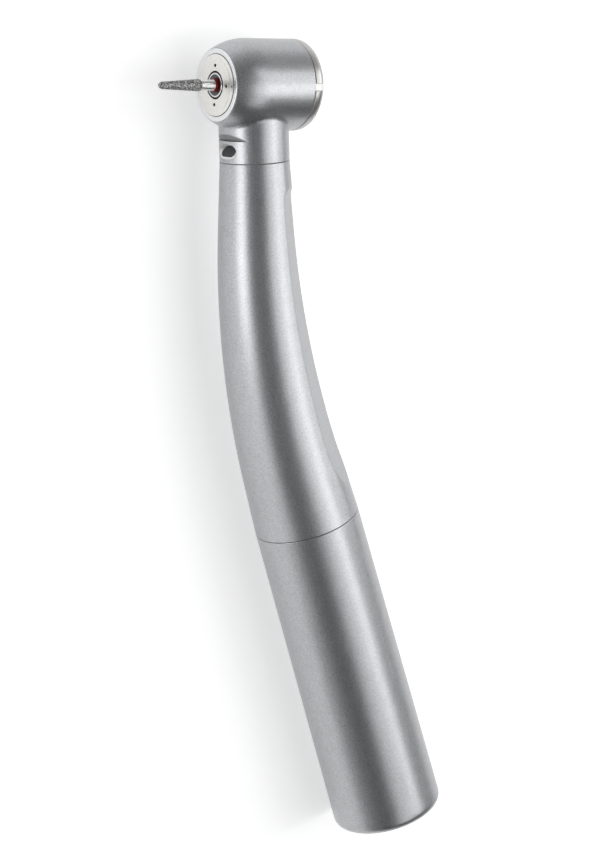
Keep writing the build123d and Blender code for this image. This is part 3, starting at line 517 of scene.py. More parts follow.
front_face = outline([
    (NECK_RADIUS, NECK_AT - 1.0), (NECK_RADIUS, NECK_AT, EDGE), (SPIGOT_BORE, NECK_AT, EDGE),
    (SPIGOT_BORE, SPIGOT_START),
    (shell_radius(SPIGOT_START) - SHELL_WALL, SPIGOT_START)], closed=False)[2:]
cavity_at = np.linspace(SPIGOT_START - 2.0, SEAM_AT + SHELL_WALL, 24)
cavity = np.stack([shell_radius(cavity_at) - SHELL_WALL, cavity_at], axis=1)
rear_face = outline([
    (TENON_BORE, SEAM_AT + SHELL_WALL), (TENON_BORE, TENON_START, EDGE),
    (TENON_RADIUS, TENON_START, EDGE), (TENON_RADIUS, SEAM_AT), (SEAM_RADIUS, SEAM_AT, EDGE),
    (SEAM_RADIUS, SEAM_AT + 1.0)], closed=False)[:-2]
body_rows = around_line(np.broadcast_to(rows[:, None], turn.shape), outside, turn)
grid = np.concatenate([body_rows, ring_rows(front_face, turn[-1]), ring_rows(cavity, turn[-1]),
                       ring_rows(rear_face, turn[0]), body_rows[:1]])
piece("shell", grid.reshape(-1, 3), quads(numbered(grid)), SATIN, "handpiece", "satin_casing",
      ["body_shell"])


# ---------------- head housing
# Barrel and neck of one piece of steel, bead-blasted: a drum that closes in towards the nose, a
# round neck that meets it in a small fillet, a milled crescent and the slanted pocket for the light.
BUR_LINE = Vector(JOINTS["rotor_spin"]["axis"])
ACROSS = BUR_LINE.cross(Vector((0, 0, -1)))
HEAD_AXES = (ACROSS, Vector((0, 0, 1)), BUR_LINE)
HEAD_LEAN = math.radians(90 - 85.9)
BARREL_RADIUS = 6.5
SEAM_BARREL_RADIUS = 6.4
CAP_SEAM = -6.3
FLARE_FROM = 1.25
FLARE_RADIUS = 9.0
NOSE_FACE = 6.16
NOSE_EDGE = 0.14
PLATE_RADIUS = 4.35
PLATE_SEAT = 5.5
NOSE_THROAT = 2.1
CHAMBER_RADIUS = 4.6
CHAMBER_FRONT = 2.3
CAP_THREAD_RADIUS = 5.3
CAP_THREAD_END = -2.1
NECK_LENGTH = 10.6
NECK_FILLET = 0.3
FILLET_ROOM = 0.02
SPIGOT_RADIUS = 4.2
SPIGOT_END = NECK_LENGTH + 7.94
SCOOP_AT = NECK_LENGTH - 3.17
SCOOP_LENGTH = 1.0
SCOOP_DEPTH = 0.35
SCOOP_CENTRE = 1.5
SCOOP_EDGE = 0.015
WINDOW_AT = NECK_LENGTH - 1.7
WINDOW_OUT = NECK_RADIUS - 0.7
WINDOW_TURN = math.radians(58.0)
WINDOW_WIDTH = 3.2
WINDOW_HEIGHT = 1.7
WINDOW_CORNER = 0.8
WINDOW_DEPTH = 3.3
WINDOW_CLEAR = 0.02
WINDOW_FLARE = 0.38
WINDOW_SHOW = 0.04
WINDOW_POINTS = 80
GROUND_TONE = (0.78, 0.785, 0.80)
# Painted shade: the dark tone of the crescent, whose slope faces the tail.
CRESCENT_SHADE_TONE = (0.22, 0.22, 0.225)
# Painted highlight: the pale, half-bare tone of the pocket's walls and flare, for the bright rim round
# the glass.
POCKET_HIGHLIGHT_TONE = (0.90, 0.90, 0.90)
BLOCK_FROM = -6.2
BLOCK_TO = 5.6
BLOCK_TURN = math.radians(66.0)
BLOCK_CELLS = 48
COLLAR_ROWS = 8
COLLAR_SPOT = (0.0, -0.35)
FILLET_ROWS = 12
SCOOP_ROWS = 16
WINDOW_ROWS = 32
WINDOW_REACH = math.radians(27.0)
DENSE = 1440


def barrel_radius(height):
    """Outside radius of the drum at a height along the bur: a taper, then an arc to the nose."""
    taper = SEAM_BARREL_RADIUS + (BARREL_RADIUS - SEAM_BARREL_RADIUS) * (height - CAP_SEAM) / (
        FLARE_FROM - CAP_SEAM)
    over = np.clip(height - FLARE_FROM, 0.0, FLARE_RADIUS)
    return np.where(height < FLARE_FROM, taper,
                    BARREL_RADIUS - FLARE_RADIUS + np.sqrt(FLARE_RADIUS ** 2 - over ** 2))


def beside_neck(angle, radial, along):
    """Points in the head's frame round the neck's axis; the angle is from +Y towards the nose."""
    lean, rise = math.cos(HEAD_LEAN), math.sin(HEAD_LEAN)
    sideways, out = radial * np.cos(angle), radial * np.sin(angle)
    return np.stack([along * lean + out * rise, sideways, out * lean - along * rise], axis=-1)


def reach_drum(angle, radial, clear):
    """How far along the neck a line beside it is clear of the drum, found by halving a stretch."""
    near, far = np.zeros_like(angle), np.full_like(angle, 2 * BARREL_RADIUS)
    for _ in range(40):
        half = (near + far) / 2
        point = beside_neck(angle, radial, half)
        inside = np.hypot(point[..., 0], point[..., 1]) - barrel_radius(point[..., 2]) < clear
        near, far = np.where(inside, half, near), np.where(inside, far, half)
    return near


def block_rim(numbers, first, last, left, right):
    """Numbers of the points round a rectangular block of a grid, in order."""
    return np.concatenate([numbers[first, left:right], numbers[first:last, right],
                           numbers[last, right:left:-1], numbers[last:first:-1, left]])


def quads_outside(numbers, *blocks):
    """Faces of a table of point numbers, but for those in the blocks of (rows, columns) given."""
    faces = quads(numbers).reshape(len(numbers) - 1, -1, 4)
    keep = np.ones(faces.shape[:2], dtype=bool)
    for block in blocks:
        keep[block] = False
    return faces[keep]


def matched(target, around, loop):
    """For each point round a block, the number along a dense closed loop at the same bearing."""
    first = math.atan2(loop[0, 1] - around[1], loop[0, 0] - around[0])
    bearing = np.unwrap(np.arctan2(loop[:, 1] - around[1], loop[:, 0] - around[0])) - first
    way = math.copysign(1.0, bearing[-1])
    wanted = way * (np.arctan2(target[:, 1] - around[1], target[:, 0] - around[0]) - first)
    known = np.append(way * bearing, 2 * math.pi)
    return np.interp(wanted % (2 * math.pi), known, np.arange(len(known)))


def laid_flat(points):
    """The drum's surface unrolled: the distance round it and the height of each point."""
    return np.stack([np.arctan2(points[:, 1], points[:, 0]) * BARREL_RADIUS, points[:, 2]], axis=1)


# The drum's rows and columns, with a square block of cells round the neck left out.
drum_heights = np.linspace(BLOCK_FROM, BLOCK_TO, BLOCK_CELLS + 1)
flare_end = np.linspace(BLOCK_TO, NOSE_FACE - NOSE_EDGE, 6)[1:]
nose_out = float(barrel_radius(np.array(NOSE_FACE)))
drum_outside = np.concatenate([drum_heights, flare_end])
drum_outside = np.stack([barrel_radius(drum_outside), drum_outside], axis=1)
drum_inside = outline([
    (nose_out, NOSE_FACE - 1.0), (nose_out, NOSE_FACE, NOSE_EDGE), (PLATE_RADIUS, NOSE_FACE, 0.04),
    (PLATE_RADIUS, PLATE_SEAT), (NOSE_THROAT, PLATE_SEAT), (NOSE_THROAT, CHAMBER_FRONT),
    (CHAMBER_RADIUS, CHAMBER_FRONT), (CHAMBER_RADIUS, CAP_THREAD_END),
    (CAP_THREAD_RADIUS, CAP_THREAD_END), (CAP_THREAD_RADIUS, CAP_SEAM),
    (SEAM_BARREL_RADIUS, CAP_SEAM, EDGE), (SEAM_BARREL_RADIUS, CAP_SEAM + 1.0)], closed=False)[2:-2]
drum = np.concatenate([drum_outside, drum_inside, drum_outside[:1]])
drum_turns = np.concatenate([np.linspace(-BLOCK_TURN, BLOCK_TURN, BLOCK_CELLS + 1),
                             np.linspace(BLOCK_TURN, 2 * math.pi - BLOCK_TURN, 85)[1:-1]])
barrel_grid = turned(drum, drum_turns)
numbers = numbered(barrel_grid)
points = [barrel_grid.reshape(-1, 3)]
faces = [quads_outside(numbers, (slice(BLOCK_CELLS), slice(BLOCK_CELLS)))]
rim = block_rim(numbers, 0, BLOCK_CELLS, 0, BLOCK_CELLS)

# A collar of cells on the drum, from the block's rim to a closed line just outside the fillet. Each
# point of the rim takes the place on that line with its own bearing from a spot inside both.
beyond = NECK_RADIUS + NECK_FILLET + FILLET_ROOM
dense = 2 * math.pi / DENSE * np.arange(DENSE) - math.pi
line = beside_neck(dense, beyond, reach_drum(dense, beyond, 0.0))
corner = points[0][rim]
angle = matched(laid_flat(corner), COLLAR_SPOT, laid_flat(line))
angle = wrapped(2 * math.pi / DENSE * angle - math.pi)
start = beside_neck(angle, beyond, reach_drum(angle, beyond, 0.0))
share = np.linspace(0.0, 1.0, COLLAR_ROWS + 1)[1:, None]
inner, outer = laid_flat(start), laid_flat(corner)
flat = outer + (inner - outer) * share[..., None]
over_turn, over_height = flat[..., 0] / BARREL_RADIUS, flat[..., 1]
radius = barrel_radius(over_height)
neck_rows = [np.stack([radius * np.cos(over_turn), radius * np.sin(over_turn), over_height], axis=-1)]

# The fillet: a quarter circle between the drum and the neck, row by row, then the neck itself.
for part in np.linspace(0.0, math.pi / 2, FILLET_ROWS + 1)[1:]:
    radial = NECK_RADIUS + NECK_FILLET * (1 - math.sin(part))
    along = reach_drum(angle, radial, NECK_FILLET * (1 - math.cos(part)))
    neck_rows.append(beside_neck(angle, radial, along)[None])
fillet_end = reach_drum(angle, NECK_RADIUS, NECK_FILLET)


def scooped(angle, along):
    """Radius of the neck where the crescent's cutter, a cone on a shifted axis, takes steel away.

    It is where a line from the neck's axis meets the cutter's circle, or the neck if that is less.
    """
    rise = np.clip((SCOOP_AT - along) / SCOOP_LENGTH, 0.0, 1.0)
    cone = SCOOP_CENTRE + NECK_RADIUS - SCOOP_DEPTH * (1 - rise)
    radial = np.sqrt(cone ** 2 - (SCOOP_CENTRE * np.cos(angle)) ** 2) - SCOOP_CENTRE * np.sin(angle)
    return np.where(rise < 1.0, np.minimum(radial, NECK_RADIUS), NECK_RADIUS)


for part in np.linspace(0.0, 1.0, SCOOP_ROWS + 1)[1:]:
    along = fillet_end + (SCOOP_AT - fillet_end) * part
    neck_rows.append(beside_neck(angle, scooped(angle, along), along)[None])
neck_end = NECK_LENGTH - SEAM_GAP
neck_along = np.concatenate([[SCOOP_AT + SCOOP_EDGE],
                             np.linspace(SCOOP_AT + 0.05, neck_end - 0.12, WINDOW_ROWS + 1)])
neck_profile = np.concatenate([
    np.stack([np.full_like(neck_along, NECK_RADIUS), neck_along], axis=1),
    outline([(NECK_RADIUS, neck_end - 1.0), (NECK_RADIUS, neck_end, EDGE), (SPIGOT_RADIUS, neck_end),
             (SPIGOT_RADIUS, SPIGOT_END), (0.0, SPIGOT_END)], closed=False)[2:]])
neck_rows.append(beside_neck(angle, neck_profile[:, :1], neck_profile[:, 1:]))
neck_grid = np.concatenate(neck_rows)
numbers = numbered(neck_grid, len(points[0]))
window_row = COLLAR_ROWS + FILLET_ROWS + SCOOP_ROWS + 1
beside = np.flatnonzero(np.abs(wrapped(angle - math.pi / 2)) < WINDOW_REACH)
pocket = (slice(window_row + 1, window_row + 1 + WINDOW_ROWS), slice(beside[0], beside[-1]))
points.append(neck_grid.reshape(-1, 3))
faces.append(quads_outside(np.concatenate([rim[None], numbers]), pocket))


def window_line(place, grow):
    """Places on the window's rounded rectangle, grown all round.

    The place runs from 0 to 80 round it: 20 points in each corner's arc, straight sides between.
    """
    turn = (np.arange(WINDOW_POINTS + 1) + 0.5) * 2 * math.pi / WINDOW_POINTS
    wide, high = WINDOW_WIDTH / 2 - WINDOW_CORNER, WINDOW_HEIGHT / 2 - WINDOW_CORNER
    across = np.sign(np.cos(turn)) * wide + (WINDOW_CORNER + grow) * np.cos(turn)
    along = np.sign(np.sin(turn)) * high + (WINDOW_CORNER + grow) * np.sin(turn)
    known = np.arange(WINDOW_POINTS + 1)
    return np.interp(place, known, across), np.interp(place, known, along)


def window_point(across, along, out):
    """Points in the head's frame from places on the window's face and out along its axis."""
    handle = WINDOW_AT - along * math.sin(WINDOW_TURN) - out * math.cos(WINDOW_TURN)
    rise = WINDOW_OUT - along * math.cos(WINDOW_TURN) + out * math.sin(WINDOW_TURN)
    return beside_neck(np.arctan2(rise, across), np.hypot(rise, across), handle)


def mouth_line(place):
    """The pocket's mouth laid flat: the distances round the neck and along it.

    It is the window's rectangle, grown by the flare and carried straight out to the neck.
    """
    across, along = window_line(place, WINDOW_FLARE)
    return np.stack([-np.arcsin(across / NECK_RADIUS) * NECK_RADIUS,
                     WINDOW_AT - along * math.sin(WINDOW_TURN)], axis=1)


def head_areas(where):
    """The nose's flat face is ground bright; the light's pocket is painted pale as a painted highlight,
    and the crescent is painted dark as a painted shade.
    """
    from_head = where.vector("SUBTRACT", tuple(HEAD), out=0)
    along_bur = from_head.vector("DOT_PRODUCT", tuple(BUR_LINE))
    nose = along_bur.step((NOSE_FACE - 0.10) * MM, (NOSE_FACE - 0.06) * MM)
    neck_way = ACROSS * math.cos(HEAD_LEAN) - BUR_LINE * math.sin(HEAD_LEAN)
    along = from_head.vector("DOT_PRODUCT", tuple(neck_way))
    radial = from_head.vector("CROSS_PRODUCT", tuple(neck_way), out=0).vector("LENGTH")
    below = radial.step((NECK_RADIUS - 0.03) * MM, (NECK_RADIUS - 0.004) * MM, 1.0, 0.0)
    past_scoop = along.step(SCOOP_AT * MM, (SCOOP_AT + SCOOP_EDGE) * MM)
    # Painted shade: the crescent's slope is coloured dark where its shade falls.
    crescent = along.step((SCOOP_AT - 1.15) * MM, (SCOOP_AT - 1.05) * MM) * (1.0 - past_scoop) * below
    # Painted highlight: the pocket's walls and flare below the neck's surface are coloured pale and
    # less metallic.
    return [(nose, GROUND_TONE, 0.27, 1.0), (crescent, CRESCENT_SHADE_TONE, 0.40, 1.0),
            (below * past_scoop, POCKET_HIGHLIGHT_TONE, 0.5, 0.25)]


# The pocket: the block's rim runs to the mouth's points of the same bearings, then down the flare
# to the glass and straight to the floor.
corner = block_rim(numbers, window_row, window_row + WINDOW_ROWS, beside[0], beside[-1])
at_row, at_column = np.divmod(corner - numbers[0, 0], len(angle))
outer = np.stack([(angle[at_column] - math.pi / 2) * NECK_RADIUS, neck_along[at_row - window_row + 1]],
                 axis=1)
per_place = WINDOW_POINTS / DENSE
mouth = mouth_line(per_place * np.arange(DENSE))
places = per_place * matched(outer, mouth.mean(axis=0), mouth)
share = np.linspace(0.0, 1.0, 7)[1:, None, None]
flat = outer + (mouth_line(places) - outer) * share
neck_rows = [beside_neck(flat[..., 0] / NECK_RADIUS + math.pi / 2, NECK_RADIUS, flat[..., 1])]
across, along = window_line(places, WINDOW_CLEAR)
for out in (WINDOW_SHOW, -WINDOW_DEPTH):
    neck_rows.append(window_point(across, along, out)[None])
neck_rows.append(np.broadcast_to(neck_rows[-1].mean(axis=1, keepdims=True), neck_rows[-1].shape))
window_grid = np.concatenate(neck_rows)
numbers = numbered(window_grid, sum(map(len, points)))
points.append(window_grid.reshape(-1, 3))
faces.append(quads(np.concatenate([corner[None], numbers])))
piece("head", place_at(np.concatenate(points), HEAD, *HEAD_AXES), np.concatenate(faces),
      blank("head_steel", satin(SATIN_TONE, SATIN_ROUGHNESS, head_areas)), "handpiece", "satin_head",
      ["head_housing"])


# ---------------- light window
# The end of the light path: a slanted block of dark glass with polished, slightly eased edges,
# bonded into the neck's pocket below the surface. Its rows are grown or shrunken window lines.
GLASS_LENGTH = 3.0
GLASS_EDGE = 0.07
GLASS_TONE = (0.040, 0.042, 0.048)
GLASS_ROUGHNESS = 0.4
GLASS_INDEX = 1.35


def glass(new):
    """Polished dark glass."""
    return shader(new, GLASS_TONE, GLASS_ROUGHNESS, metallic=0.0, IOR=GLASS_INDEX)


def on_head(name, grid, material, body, slot, replaced, **more):
    """A piece from one closed grid of points in the head's frame."""
    return piece(name, place_at(grid, HEAD, *HEAD_AXES), quads(numbered(grid)), material, body, slot,
                 [replaced], **more)


def capped(rows):
    """A grid of rings with a row at each end that lies in the middle of the end ring."""
    first, last = (np.broadcast_to(row.mean(axis=0), row.shape)[None] for row in (rows[0], rows[-1]))
    return np.concatenate([first, rows, last])


rows = []
places = np.arange(2 * WINDOW_POINTS) / 2
for grow, out in ((0.0, -GLASS_LENGTH), (0.0, -GLASS_EDGE), (-0.3 * GLASS_EDGE, -0.3 * GLASS_EDGE),
                  (-GLASS_EDGE, 0.0), (-2 * GLASS_EDGE, 0.0)):
    rows.append(window_point(*window_line(places, grow), out))
on_head("window", capped(np.stack(rows)), blank("dark_glass", glass), "handpiece", "light_glass",
        "light_window")


# ---------------- nose plate
# A turned steel plate pressed into the nose, finer and paler than the casing: a raised face with
# four spray holes, a stepped rim with a small locating hole, and a wide opening for the bur.
PLATE_TOP = NOSE_FACE + 0.2
PLATE_RIM_RADIUS = 3.7
PLATE_RIM_STEP = 0.06
PLATE_RIM_SLOPE = 0.06
PLATE_OPENING = 1.95
PLATE_SEAM = 0.07
SPRAY_HOLE_RADIUS = 0.24
SPRAY_HOLE_CIRCLE = 2.7
DIMPLE_RADIUS = 0.15
DIMPLE_AT = 3.97
HOLE_EASE = 0.02
HOLE_DEPTH = 0.75
HOLE_ROOM = 0.36
DIMPLE_ROOM = 0.19
BLOCK_ROWS = 16
HOLE_COLUMNS = 16
DIMPLE_COLUMNS = 10
PLATE_RINGS = 40000.0
MOTTLE_SCALE = 3500.0
TURNING_DEPTH = 0.000002
PLATE_TONE = (0.80, 0.79, 0.755)
# Painted shade: the dark tone inside the holes and hollows of turned pieces.
HOLLOW_SHADE_TONE = (0.10, 0.10, 0.105)


def turned_steel(tone, roughness, rings, painted_shade=None):
    """Fine turned steel: very fine concentric lines about the bur's axis over a faint mottle.

    Painted shade, where given, makes a mask from the radius and height; the steel is painted dark there
    as the shade in a hollow, and is matter.
    """
    def build(new):
        where = new.node("ShaderNodeTexCoord", out="Object")
        where = where.vector("SUBTRACT", tuple(HEAD), out=0)
        outwards = where.vector("CROSS_PRODUCT", tuple(BUR_LINE), out=0).vector("LENGTH")
        height = where.vector("DOT_PRODUCT", tuple(BUR_LINE))
        place = new.node("ShaderNodeCombineXYZ", X=outwards, Y=height, Z=0.0)
        lines = place.noise(rings, 1.0)
        colour = (lines * 0.5 + where.noise(MOTTLE_SCALE) * 0.5).spread().tint(tone, 0.93, 1.05)
        rough = lines.spread(roughness - 0.03, roughness + 0.04)
        if painted_shade:
            mask = painted_shade(outwards, height)
            colour = mask.colour(colour, HOLLOW_SHADE_TONE)
            rough = rough + mask * 0.15
        return shader(new, colour, rough, height=lines, depth=TURNING_DEPTH)
    return build


def plate_top(radius):
    """Height of the plate's face: flat inside, a small step and a slope towards the rim."""
    slope = (radius - PLATE_RIM_RADIUS) / (PLATE_RADIUS - PLATE_RIM_RADIUS)
    return np.where(radius < PLATE_RIM_RADIUS, PLATE_TOP,
                    PLATE_TOP - PLATE_RIM_STEP - PLATE_RIM_SLOPE * slope)


def drilled(points, numbers, block, middle, radius):
    """Faces and points of a round hole that fills a block left out of a turned face.

    The rows run from the block's rim to the hole's eased edge, down its wall and to its floor.
    """
    rim = block_rim(numbers, *block)
    bearing = np.arctan2(points[rim, 1] - middle[1], points[rim, 0] - middle[0])
    way = np.stack([np.cos(bearing), np.sin(bearing)], axis=1)
    edge = np.array(middle) + way * (radius + HOLE_EASE)
    share = np.linspace(0.0, 1.0, 5)[1:, None, None]
    flat = points[rim, :2] + (edge - points[rim, :2]) * share
    rows = [np.concatenate([flat, plate_top(np.hypot(flat[..., 0], flat[..., 1]))[..., None]], axis=-1)]
    level = float(plate_top(np.hypot(*middle)))
    for away, down in ((radius, HOLE_EASE), (radius, HOLE_DEPTH), (0.0, HOLE_DEPTH)):
        ring = np.array(middle) + way * away
        rows.append(np.concatenate([ring, np.full((len(rim), 1), level - down)], axis=1)[None])
    grid = np.concatenate(rows)
    more = quads(np.concatenate([rim[None], numbered(grid, len(points))]))
    return np.concatenate([points, grid.reshape(-1, 3)]), more


# The profile has a run of even rings where the locating hole lies and one where the spray holes
# lie, so that each hole replaces a block of cells.
plate_edge = PLATE_RADIUS - PLATE_SEAM
rim_outer = np.linspace(plate_edge - 0.02, DIMPLE_AT + 0.22, 3)
rim_radii = np.concatenate([rim_outer,
                            DIMPLE_AT + np.linspace(DIMPLE_ROOM, -DIMPLE_ROOM, BLOCK_ROWS + 1),
                            [PLATE_RIM_RADIUS + 0.04]])
face_outer = PLATE_RIM_RADIUS - np.array([0.04, 0.2, 0.4])
face_radii = np.concatenate([face_outer,
                             SPRAY_HOLE_CIRCLE + np.linspace(HOLE_ROOM, -HOLE_ROOM, BLOCK_ROWS + 1),
                             PLATE_OPENING + np.array([0.25, 0.13, 0.06])])
plate_side = [[PLATE_OPENING, PLATE_SEAT], [plate_edge, PLATE_SEAT], [plate_edge, PLATE_TOP - 0.2],
              [plate_edge - 0.005, PLATE_TOP - 0.13]]
profile = np.concatenate([
    plate_side, np.stack([rim_radii, plate_top(rim_radii)], axis=1),
    [[PLATE_RIM_RADIUS + 0.01, PLATE_TOP - PLATE_RIM_STEP], [PLATE_RIM_RADIUS, PLATE_TOP - 0.01]],
    np.stack([face_radii, plate_top(face_radii)], axis=1),
    [[PLATE_OPENING, PLATE_TOP - 0.06], [PLATE_OPENING, PLATE_SEAT]]])
grid = turned(profile)
numbers, points = numbered(grid), grid.reshape(-1, 3)
rim_row = len(plate_side) + len(rim_outer)
hole_row = len(plate_side) + len(rim_radii) + 2 + len(face_outer)
holes = [(hole_row, HOLE_COLUMNS, quarter, SPRAY_HOLE_CIRCLE, SPRAY_HOLE_RADIUS)
         for quarter in range(4)] + [(rim_row, DIMPLE_COLUMNS, 1, DIMPLE_AT, DIMPLE_RADIUS)]
blocks, faces = [], []
for row, columns, quarter, away, radius in holes:
    turn, left = quarter * math.pi / 2, TURNS * quarter // 4 - columns // 2
    blocks.append((slice(row, row + BLOCK_ROWS), np.arange(left, left + columns) % TURNS))
    points, more = drilled(points, np.roll(numbers, -left, axis=1), (row, row + BLOCK_ROWS, 0, columns),
                           (away * math.cos(turn), away * math.sin(turn)), radius)
    faces.append(more)
faces.insert(0, quads_outside(numbers, *blocks))


def in_hole(outwards, height):
    """The walls of the spray holes and of the plate's opening, below its face, painted dark as shade.
    """
    return height.step((PLATE_TOP - 0.22) * MM, (PLATE_TOP - 0.16) * MM, 1.0, 0.0)


piece("plate", place_at(points, HEAD, *HEAD_AXES), np.concatenate(faces),
      blank("turned_plate", turned_steel(PLATE_TONE, 0.30, PLATE_RINGS, in_hole)), "handpiece",
      "nose_metal", ["nose_plate"])


# ---------------- back cap
# A screwed steel cap behind the turbine, finer ground than the head, with a well rounded rim, two
# key notches across its edge and a mouth that holds the push button in.
CAP_RADIUS = SEAM_BARREL_RADIUS + 0.02
CAP_FACE = CAP_SEAM - SEAM_GAP
CAP_END = -8.2
CAP_ROUND = 1.3
CAP_THREAD_ROOM = 0.05
CAP_MOUTH = 3.6
BUTTON_CHAMBER = 4.3
BUTTON_FLOOR = -5.2
CAP_LIP_START = CAP_END + 1.0
CAP_FLOOR_HOLE = 2.3
BEARING_SEAT = 3.25
REAR_BEARING = -4.6
SKIRT_END = CAP_THREAD_END - CAP_THREAD_ROOM
NOTCH_WIDTH = 1.0
NOTCH_DEPTH = 0.35
NOTCH_SIDE = 0.06
NOTCH_TURN = math.radians(6.0)
CAP_TONE = (0.50, 0.495, 0.48)
CAP_RINGS = 15000.0

thread = CAP_THREAD_RADIUS - CAP_THREAD_ROOM
profile = outline([
    (CAP_RADIUS, CAP_FACE, EDGE), (CAP_RADIUS, CAP_END, CAP_ROUND), (CAP_MOUTH, CAP_END, 0.12),
    (CAP_MOUTH, CAP_LIP_START), (BUTTON_CHAMBER, CAP_LIP_START), (BUTTON_CHAMBER, BUTTON_FLOOR),
    (CAP_FLOOR_HOLE, BUTTON_FLOOR), (CAP_FLOOR_HOLE, REAR_BEARING), (BEARING_SEAT, REAR_BEARING),
    (BEARING_SEAT, SKIRT_END), (thread, SKIRT_END), (thread, CAP_FACE)], closed=True)

# The turned profile, with each point near a notch held back to the notch's floor. The floor rises
# to the full radius over a short stretch at the notch's sides.
close_turns = np.linspace(-NOTCH_TURN, NOTCH_TURN, 49)
wide_turns = np.linspace(NOTCH_TURN, math.pi - NOTCH_TURN, 90)[1:-1]
half_turns = np.concatenate([close_turns, wide_turns])
cap_turns = np.concatenate([half_turns, half_turns + math.pi]) + math.pi / 2
grid = turned(profile, cap_turns)
past_side = np.maximum(np.abs(grid[..., 0]) - NOTCH_WIDTH / 2, 0.0)
notch_floor = CAP_RADIUS - NOTCH_DEPTH + past_side * NOTCH_DEPTH / NOTCH_SIDE
grid[..., 1] = np.clip(grid[..., 1], -notch_floor, notch_floor)
on_head("cap", grid, blank("ground_cap", turned_steel(CAP_TONE, 0.33, CAP_RINGS)), "handpiece",
        "cap_metal", "back_cap")


# ---------------- push button
# The button in the middle of the cap: a shallow dome of fine turned steel with an eased edge, on a
# flange behind the cap's lip and with a boss that pushes the chuck open.
BUTTON_TOP = CAP_END - 0.4
BUTTON_DOME = 20.0
BUTTON_CLEAR = 0.1
BUTTON_RADIUS = CAP_MOUTH - BUTTON_CLEAR
FLANGE_RADIUS = BUTTON_CHAMBER - BUTTON_CLEAR
FLANGE_END = CAP_LIP_START + 0.5
BOSS_RADIUS = 0.9
BOSS_END = -5.6
BUTTON_TONE = (0.66, 0.655, 0.64)
BUTTON_RINGS = 25000.0


def dome_height(radius):
    """Height of the dome: an arc of a large sphere with its top on the bur's axis."""
    return BUTTON_TOP + BUTTON_DOME - np.sqrt(BUTTON_DOME ** 2 - radius ** 2)


dome_radii = np.linspace(0.0, BUTTON_RADIUS - 0.2, 15)
dome = np.stack([dome_radii, dome_height(dome_radii)], axis=1)
profile = outline([tuple(dome[-1]), (BUTTON_RADIUS, float(dome_height(BUTTON_RADIUS)), 0.14),
                   (BUTTON_RADIUS, CAP_LIP_START), (FLANGE_RADIUS, CAP_LIP_START, 0.05),
                   (FLANGE_RADIUS, FLANGE_END, 0.05), (BOSS_RADIUS, FLANGE_END),
                   (BOSS_RADIUS, BOSS_END, 0.1), (0.0, BOSS_END)], closed=False)
on_head("button", turned(np.concatenate([dome, profile[1:]])),
        blank("turned_button", turned_steel(BUTTON_TONE, 0.28, BUTTON_RINGS)), "button", "cap_metal",
        "push_button")


# ---------------- button spring
# A coil spring of round steel wire, drawn and ground, that pushes the button out. It stands between
# the cap's floor and the button's flange.
SPRING_RADIUS = 3.4
SPRING_WIRE = 0.16
SPRING_TURNS = 2.0
SPRING_TONE = (0.74, 0.74, 0.75)
SPRING_RINGS = 9000.0
SPRING_ROWS = 193
WIRE_SIDES = 16

# The wire is a circle carried along a helix, square to it, with a flat disc at each end.
room = BUTTON_FLOOR - FLANGE_END
rise = room - 2 * SPRING_WIRE
pitch = math.atan2(rise, 2 * math.pi * SPRING_RADIUS * SPRING_TURNS)
share = np.linspace(0.0, 1.0, SPRING_ROWS)[:, None]
coil_turn = 2 * math.pi * SPRING_TURNS * share
around = circle(WIRE_SIDES)
out, lift = SPRING_RADIUS + SPRING_WIRE * np.cos(around), SPRING_WIRE * np.sin(around)
coil = np.stack([out * np.cos(coil_turn) + lift * math.sin(pitch) * np.sin(coil_turn),
                 out * np.sin(coil_turn) - lift * math.sin(pitch) * np.cos(coil_turn),
                 FLANGE_END + SPRING_WIRE + rise * share + lift * math.cos(pitch)], axis=-1)
spring = on_head("spring", capped(coil),
                 blank("drawn_wire", turned_steel(SPRING_TONE, 0.24, SPRING_RINGS)), "handpiece",
                 "bearing_steel", "button_spring")
travel = max(abs(limit) for limit in JOINTS["button_press"]["range_m"]) / MM
1 - travel / room
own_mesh(spring)


# ---------------- spindle and red ring
# The turbine's hollow shaft, bright turned steel whose nose is a narrow ring round a cone, and the
# deep red ring pressed in at the bottom of the cone, round the bur.
SPINDLE_RADIUS = 1.5875
SPINDLE_COLLAR = 1.70
SPINDLE_SINK = 0.02
SPINDLE_NOSE = PLATE_TOP - SPINDLE_SINK
SPINDLE_TAIL = -5.0
COLLAR_FROM = 4.98
CONE_RADIUS = 1.5
RED_RADIUS = 0.97
RED_BORE = 0.82
RED_SINK = 0.12
RED_TOP = SPINDLE_NOSE - RED_SINK
RED_FRONT = RED_TOP + 0.5
RED_BOTTOM = RED_TOP - 1.0
RED_EDGE = 0.06
SHAFT_TURNS = 96
SPINDLE_BORE = 1.25
SPINDLE_TONE = (0.72, 0.72, 0.73)
SPINDLE_RINGS = 20000.0
RED_TONE = (0.30, 0.012, 0.014)
RED_SCALE = 6000.0

profile = outline([
    (SPINDLE_BORE, SPINDLE_TAIL, 0.05), (SPINDLE_RADIUS, SPINDLE_TAIL, 0.05),
    (SPINDLE_RADIUS, COLLAR_FROM), (SPINDLE_COLLAR, COLLAR_FROM),
    (SPINDLE_COLLAR, SPINDLE_NOSE, 0.05), (CONE_RADIUS, SPINDLE_NOSE, 0.02), (RED_RADIUS, RED_TOP),
    (RED_RADIUS, RED_BOTTOM), (SPINDLE_BORE, RED_BOTTOM)], closed=True)


def in_cone(outwards, height):
    """The spindle's shallow cone, inside its bright nose ring, painted dark as the shade in it."""
    inside = outwards.step((CONE_RADIUS - 0.03) * MM, CONE_RADIUS * MM, 1.0, 0.0)
    return inside * height.step((RED_TOP - 0.05) * MM, (RED_TOP - 0.02) * MM)


